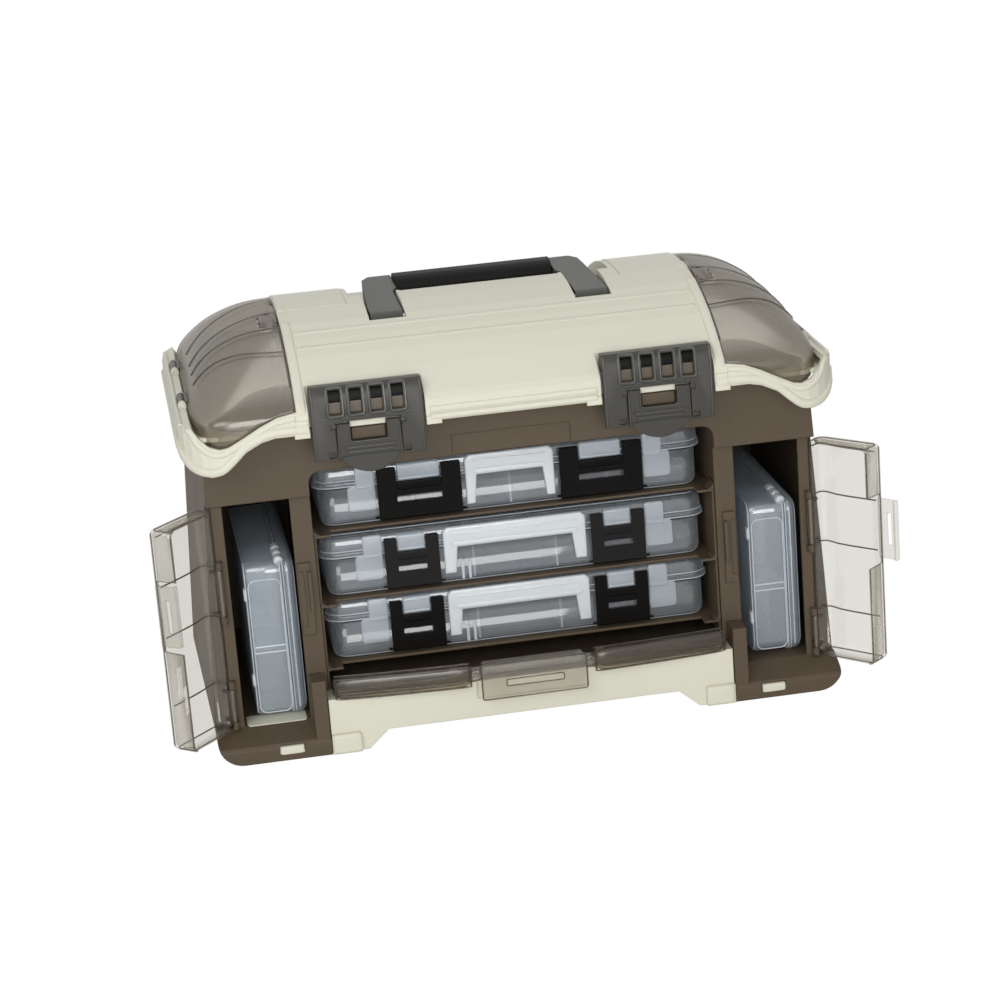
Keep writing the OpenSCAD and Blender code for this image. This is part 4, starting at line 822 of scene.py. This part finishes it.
def make_lid_details():
    zl = lambda x: spline([q[0] for q in RIM_LOW], [q[1] for q in RIM_LOW], x)
    for side in ("left", "right"):
        flip = side == "left"
        bm = bmesh.new()
        low, top = [], []
        for k in range(46):
            x = 141.6 + (229.6 - 141.6) * k / 45
            low.append(((x, rim_plan(x, -0.3), zl(x) + 3.4), rim_normal(x)))
        for k in range(14):
            low.append(((229.8, -92 + 190 * k / 13, 235.6), (1, 0, 0)))
        band(bm, low, 1.9, 3.1)
        for k in range(40):
            x = 150 + (223.5 - 150) * k / 39
            z = window_z(min(x * 0.985 + 1.5, 220.4)) - 3.6 + (2.0 if x > 218 else 0)
            top.append(((x, rim_plan(x, -0.4), z), rim_normal(x)))
        band(bm, top, 1.5, 2.2)
        tube(bm, [(227.0, y, 248.0) for y in range(-108, 109, 12)], 1.6, 8)
        for z, out, h in RIM_BEADS:
            band(bm, [((x, -130.1, z), (0, -1, 0)) for x in (141.6, 145, 150)], out, h)
        piece(f"lid_rim_{side}", bm, CREAM, "lid", mirror=flip)
        # band beside the cover
        bm = bmesh.new()
        rings = []
        for k in range(60):
            y = -129.6 + 119 * k / 59
            if -45 < y < -26:
                continue
            z = lid_top(y)
            rings.append([(141.8, y, z - 0.8), (142.4, y - 0.5, z + 0.9), (143.4, y - 0.7, z + 1.3),
                          (147.6, y - 0.7, z + 1.3), (148.7, y - 0.5, z + 0.9), (149.0, y, z - 0.8)])
        cut = next(i for i, r in enumerate(rings) if r[0][1] > -45)
        loft(bm, rings[:cut], True, True)
        loft(bm, rings[cut:], True, True)
        piece(f"lid_end_band_{side}", bm, CREAM, "lid", mirror=flip)
        # snap block for the cover
        bm = bmesh.new()
        slab(bm, [(-45.6, 284), (-24.4, 284), (-24.4, 299.0), (-45.6, 295.4)], 149.8, 162.2, "x")
        slab(bm, [(-42, 295), (-28, 297), (-28, 300.2), (-42, 297.4)], 150.2, 153.0, "x")
        slab(bm, [(-42, 293.5), (-28, 296), (-28, 299.6), (-42, 296.8)], 157.8, 161.0, "x")
        piece(f"cover_snap_block_{side}", bm, BROWN_GLOSS, "lid", mirror=flip,
              bevel=0.8)
        # cream lip that the latch hooks over
        bm = bmesh.new()
        cushion(bm, lambda i: rr(88.6 + i, 113.4 - i, 238.3 + i, 242.6 - i, 0.6), -118, -127.0, 0.7)
        piece(f"latch_lip_{side}", bm, CREAM, "lid", mirror=flip)
    # rim between the latches and creases across the middle
    bm = bmesh.new()
    for z, out, h in RIM_BEADS:
        band(bm, [((x, -130.1, z), (0, -1, 0)) for x in range(-58, 59, 4)], out, h)
    crease = ((-0.6, -0.8), (-0.45, 0.6), (-0.25, 1), (0.3, 0.7), (0.9, 0.2), (1.6, -0.8))
    for y, w, h in ((-62.0, 3.0, 0.4), (-80.5, 2.4, 0.28)):
        section = [(y + d * w, lid_top(y + d * w) + e * h) for d, e in crease]
        loft(bm, [[(x, v, z) for v, z in section] for x in range(-141, 142, 6)], True, True)
    piece("lid_rim_and_creases", bm, CREAM, "lid")


def fillet(bm, x, z, sx, sz, r, y0, y1):
    """A concave corner filling at (x, z), which runs to the side of sx and up or down by sz."""
    pts = [(x, z), (x + sx * r, z)]
    for k in range(1, 7):
        t = math.radians(90 * k / 6)
        pts.append((x + sx * r * (1 - math.sin(t)), z + sz * r * (1 - math.cos(t))))
    slab(bm, pts, y0, y1)


def make_cabinet_details():
    # rounded corners where the ledges of the rack meet the dividers
    bm = bmesh.new()
    for z in (55.7, 102.7, 154.3):
        for s in (-1, 1):
            fillet(bm, s * 143.2, z, -s, 1, 6, -97.5, -84)
            fillet(bm, s * 143.2, z - 1.8, -s, -1, 3, -97.5, -84)
    piece("rack_corners", bm, BROWN, "cabinet")
    # the pads of the feet and the snap tabs
    bm = bmesh.new()
    for s in (-1, 1):
        u, v = sorted((s * 124.6, s * 145.4))
        cushion(bm, lambda i: rr(u + i, v - i, 0.2 + i, 14.6 - i, 2.4), -117.5, -122.4, 2.0)
        u, v = s * 174.4 - 8.3, s * 174.4 + 8.3
        cushion(bm, lambda i: rr(u + i, v - i, 4.7 + i, 10.7 - i, 2.0), -118, -121.4, 0.8)
    piece("base_feet", bm, CREAM, "cabinet")
    # pad on the floor of the left bay
    bm = bmesh.new()
    cushion(bm, lambda i: rr(-203 + i, -160.5 - i, -100.5 + i, -80 - i, 3), 21.0, 21.7, 0.15, "z")
    piece("bay_pad", bm, CREAM, "cabinet")


# ---------------------------------------------------------------- latches of the lid
def lean(bm, z0, slope):
    """Bends what stands above z0 backwards."""
    everything = bm.verts[:] + bm.edges[:] + bm.faces[:]
    bmesh.ops.bisect_plane(bm, geom=everything, plane_co=(0, 0, z0), plane_no=(0, 0, 1))
    for v in bm.verts:
        v.co.y += slope * max(v.co.z - z0, 0)


def plate(bm, outer, holes, y0, y1):
    """A plate in the front plane with holes through it."""
    loops = [outer] + holes
    for u in (y0, y1):
        rings = [[bm.verts.new((p, u, q)) for p, q in loop] for loop in loops]
        edges = [bm.edges.new((r[k], r[(k + 1) % len(r)])) for r in rings for k in range(len(r))]
        bmesh.ops.triangle_fill(bm, use_beauty=True, use_dissolve=False, edges=edges)
    for loop in loops:
        loft(bm, [[(p, y0, q) for p, q in loop], [(p, y1, q) for p, q in loop]])
    bmesh.ops.remove_doubles(bm, verts=bm.verts, dist=0.01)
    bmesh.ops.dissolve_limit(bm, angle_limit=math.radians(1), verts=bm.verts, edges=bm.edges)


def make_lid_latch(side):
    flip, body = side == "left", f"latch_{side}_body"
    # its middle, the height where it starts to lean back, and how far it leans
    c, f0, slope = 101.0, 262.0, 0.6
    xs = [c + k * 14.4 for k in (-1.5, -0.5, 0.5, 1.5)]  # the four windows
    bm = bmesh.new()
    outer = [(c - 38.5, 217), (c - 22.75, 217), (c - 22.75, 243.6), (c + 22.75, 243.6), (c + 22.75, 217),
             (c + 38.5, 217), (c + 38.5, 267.6), (c + 37.5, 268.2), (c - 37.5, 268.2), (c - 38.5, 267.6)]
    holes = [rr(x - 4.0, x + 4.0, 248.6, 265.6, 0.8, 3) for x in xs]
    holes += [rr(x - 2.4, x + 2.4, 218.2, 222.4, 0.5, 2) for x in (c - 26, c + 26)]
    plate(bm, outer, holes, -127.3, -130.5)
    lean(bm, f0, slope)
    slab(bm, [(-126.9, 265.6), (-126.6, 268.3), (-119.6, 268.3), (-119.6, 265.6)], c - 38.4, c + 38.4, "x")
    # cheeks with the hinge boss, and the bosses of the flap
    cheek = [(-128, 256), (-123, 256), (-119.8, 260), (-119.8, 266.5), (-127, 266.5)]
    for x in (c - 38.5, c + 35):
        knuckle(bm, lambda u, v, t: (t, -123 + u, 260.5 + v), ((x, 4.6), (x + 3.5, 4.6)), 20)
        slab(bm, cheek, x + 0.01, x + 3.49, "x")
    for x in (c - 25.75, c + 22.25):
        knuckle(bm, lambda u, v, t: (t, -128.9 + u, 240.4 + v), ((x, 2.6), (x + 3.5, 2.6)))
    piece(f"latch_{side}_plate", bm, GREY_LATCH, body, [f"latch_{side}"], mirror=flip,
          bevel=0.45)
    bm = bmesh.new()
    for x in xs:
        p = rr(x - 5.3, x + 5.3, 247.6, 267.0, 1.6, 4)
        p = [(u, -131.0 + slope * max(v - f0, 0), v) for u, v in p]
        tube(bm, p, 1.15, 8, True)
    for x in (c - 37.2, c + 37.2):
        tube(bm, [(x, -130.6, 218), (x, -130.6, 261.6), (x, -127.6, 267.2)], 0.7, 8)
    tube(bm, [(c - 37.2, -130.4, 246.4), (c + 37.2, -130.4, 246.4)], 0.5, 8)
    piece(f"latch_{side}_frames", bm, GREY_GLOSS, body, mirror=flip)
    # the black backs are painted shade in the upper halves of the windows, where the gap behind the latch
    # lies in shadow; the brown backs are the brown bar below them
    for tag, mat, lo, hi in (("dark", BLACK, 256.6, 266.0), ("brown", BROWN_GLOSS, 248.4, 256.6)):
        bm = bmesh.new()
        for x in xs:
            slab(bm, rr(x - 4.6, x + 4.6, lo, hi, 0.4), -127.25, -126.7)
        lean(bm, f0, slope)
        piece(f"latch_{side}_{tag}_backs", bm, mat, body, mirror=flip)
    # flap: ribs, shoulders and the edge of its notch
    bm = bmesh.new()
    for s in (-1, 1):
        shoulder = ((21.2, -130.7, 218), (21.2, -130.7, 239), (19, -130.9, 242))
        notch = ((13.3, -130.7, 241.6), (13.3, -130.7, 229.6), (10, -130.8, 228.6))
        for line in (shoulder, notch):
            tube(bm, [(c + s * u, y, z) for u, y, z in line], 0.65, 8)
    tube(bm, [(c - 10, -130.8, 228.6), (c + 10, -130.8, 228.6)], 0.65, 8)
    for i in range(3):
        tube(bm, [(c - 17 + i, -131.0, 224.8 - 3.2 * i), (c + 17 - i, -131.0, 224.8 - 3.2 * i)], 0.6, 8)
    piece(f"latch_flap_{side}_ribs", bm, GREY_GLOSS, f"flap_{side}", mirror=flip)
    soften(f"latch_flap_{side}", 0.5)


# name, underside, place and width of the latches of each rack box
RACK = (("bottom", 56.0, 74.3, 38.8), ("middle", 103.0, 74.3, 38.8), ("top", 154.6, 65.0, 59.5))
for name, z, lx, lw in RACK:
    make_box(name, z, lx, lw)
for side in ("left", "right"):
    make_side_box(side)
    make_side_door(side)
    make_cover(side)
    make_lid_latch(side)
make_front_door()
make_lid_details()
make_cabinet_details()
# CAD nodes that stay, with the width of their rounded edges
SOFT_EDGES = {"housing": 1.4, "base": 1.6, "box_rack": 0.7, "lid_shell": 1.2, "handle_frame": 1.4,
              "handle_grip": 0.8, "bin_left": 0.8, "bin_right": 0.8, "catch_plate_left": 0.6,
              "catch_plate_right": 0.6}
for node, width in SOFT_EDGES.items():
    soften(node, width, 3)


# ---------------------------------------------------------------- light
LIGHT_AIM = Vector((0, 0, 0.15))
# name, place, size and power
LAMPS = (("key", (-1.0, -1.5, 1.2), 1.0, 11), ("front", (-0.1, -2.3, 0.55), 1.1, 22),
         ("top", (0.2, 0.3, 1.8), 1.3, 6))


def make_light():
    world = bpy.data.worlds.new("world")
    scene.world = world
    world.use_nodes = True
    tree = world.node_tree
    tree.nodes.clear()
    # white where the camera sees it, directly or through a gloss, and a weaker fill for the rest
    seen = add(tree, "ShaderNodeBackground", Color=(1, 1, 1, 1), Strength=1.0)
    fill = add(tree, "ShaderNodeBackground", Color=(0.97, 0.985, 1, 1), Strength=0.36)
    rays = tree.nodes.new("ShaderNodeLightPath").outputs
    seen_by = rays["Is Camera Ray"]
    for ray in ("Is Glossy Ray", "Is Transmission Ray"):
        seen_by = math_node(tree, "MAXIMUM", seen_by, rays[ray])
    add(tree, "ShaderNodeOutputWorld", Surface=mix_shaders(tree, seen_by, fill, seen).outputs[0])
    for name, place, size, power in LAMPS:
        lamp = bpy.data.lights.new(name, "AREA")
        lamp.size = size
        lamp.energy = power
        o = bpy.data.objects.new(name, lamp)
        o.location = place
        o.rotation_mode = "QUATERNION"
        o.rotation_quaternion = (LIGHT_AIM - Vector(place)).to_track_quat("-Z", "Y")
        scene.collection.objects.link(o)


def make_floor():
    bm = bmesh.new()
    bmesh.ops.create_grid(bm, x_segments=4, y_segments=4, size=2.0)
    me = bpy.data.meshes.new("floor")
    bm.to_mesh(me)
    bm.free()
    o = bpy.data.objects.new("floor", me)
    o.location = (0, 0, -0.0005)
    o.visible_camera = False
    o.visible_transmission = False
    me.materials.append(plastic("floor_white", (0.8, 0.8, 0.8), (0.85, 0.85, 0.85), rough=0.6))
    scene.collection.objects.link(o)


make_light()
make_floor()

scene.view_settings.view_transform = "Standard"
scene.cycles.transparent_max_bounces = 40
scene.cycles.max_bounces = 10
scene.cycles.diffuse_bounces = 4
scene.cycles.sample_clamp_indirect = 4
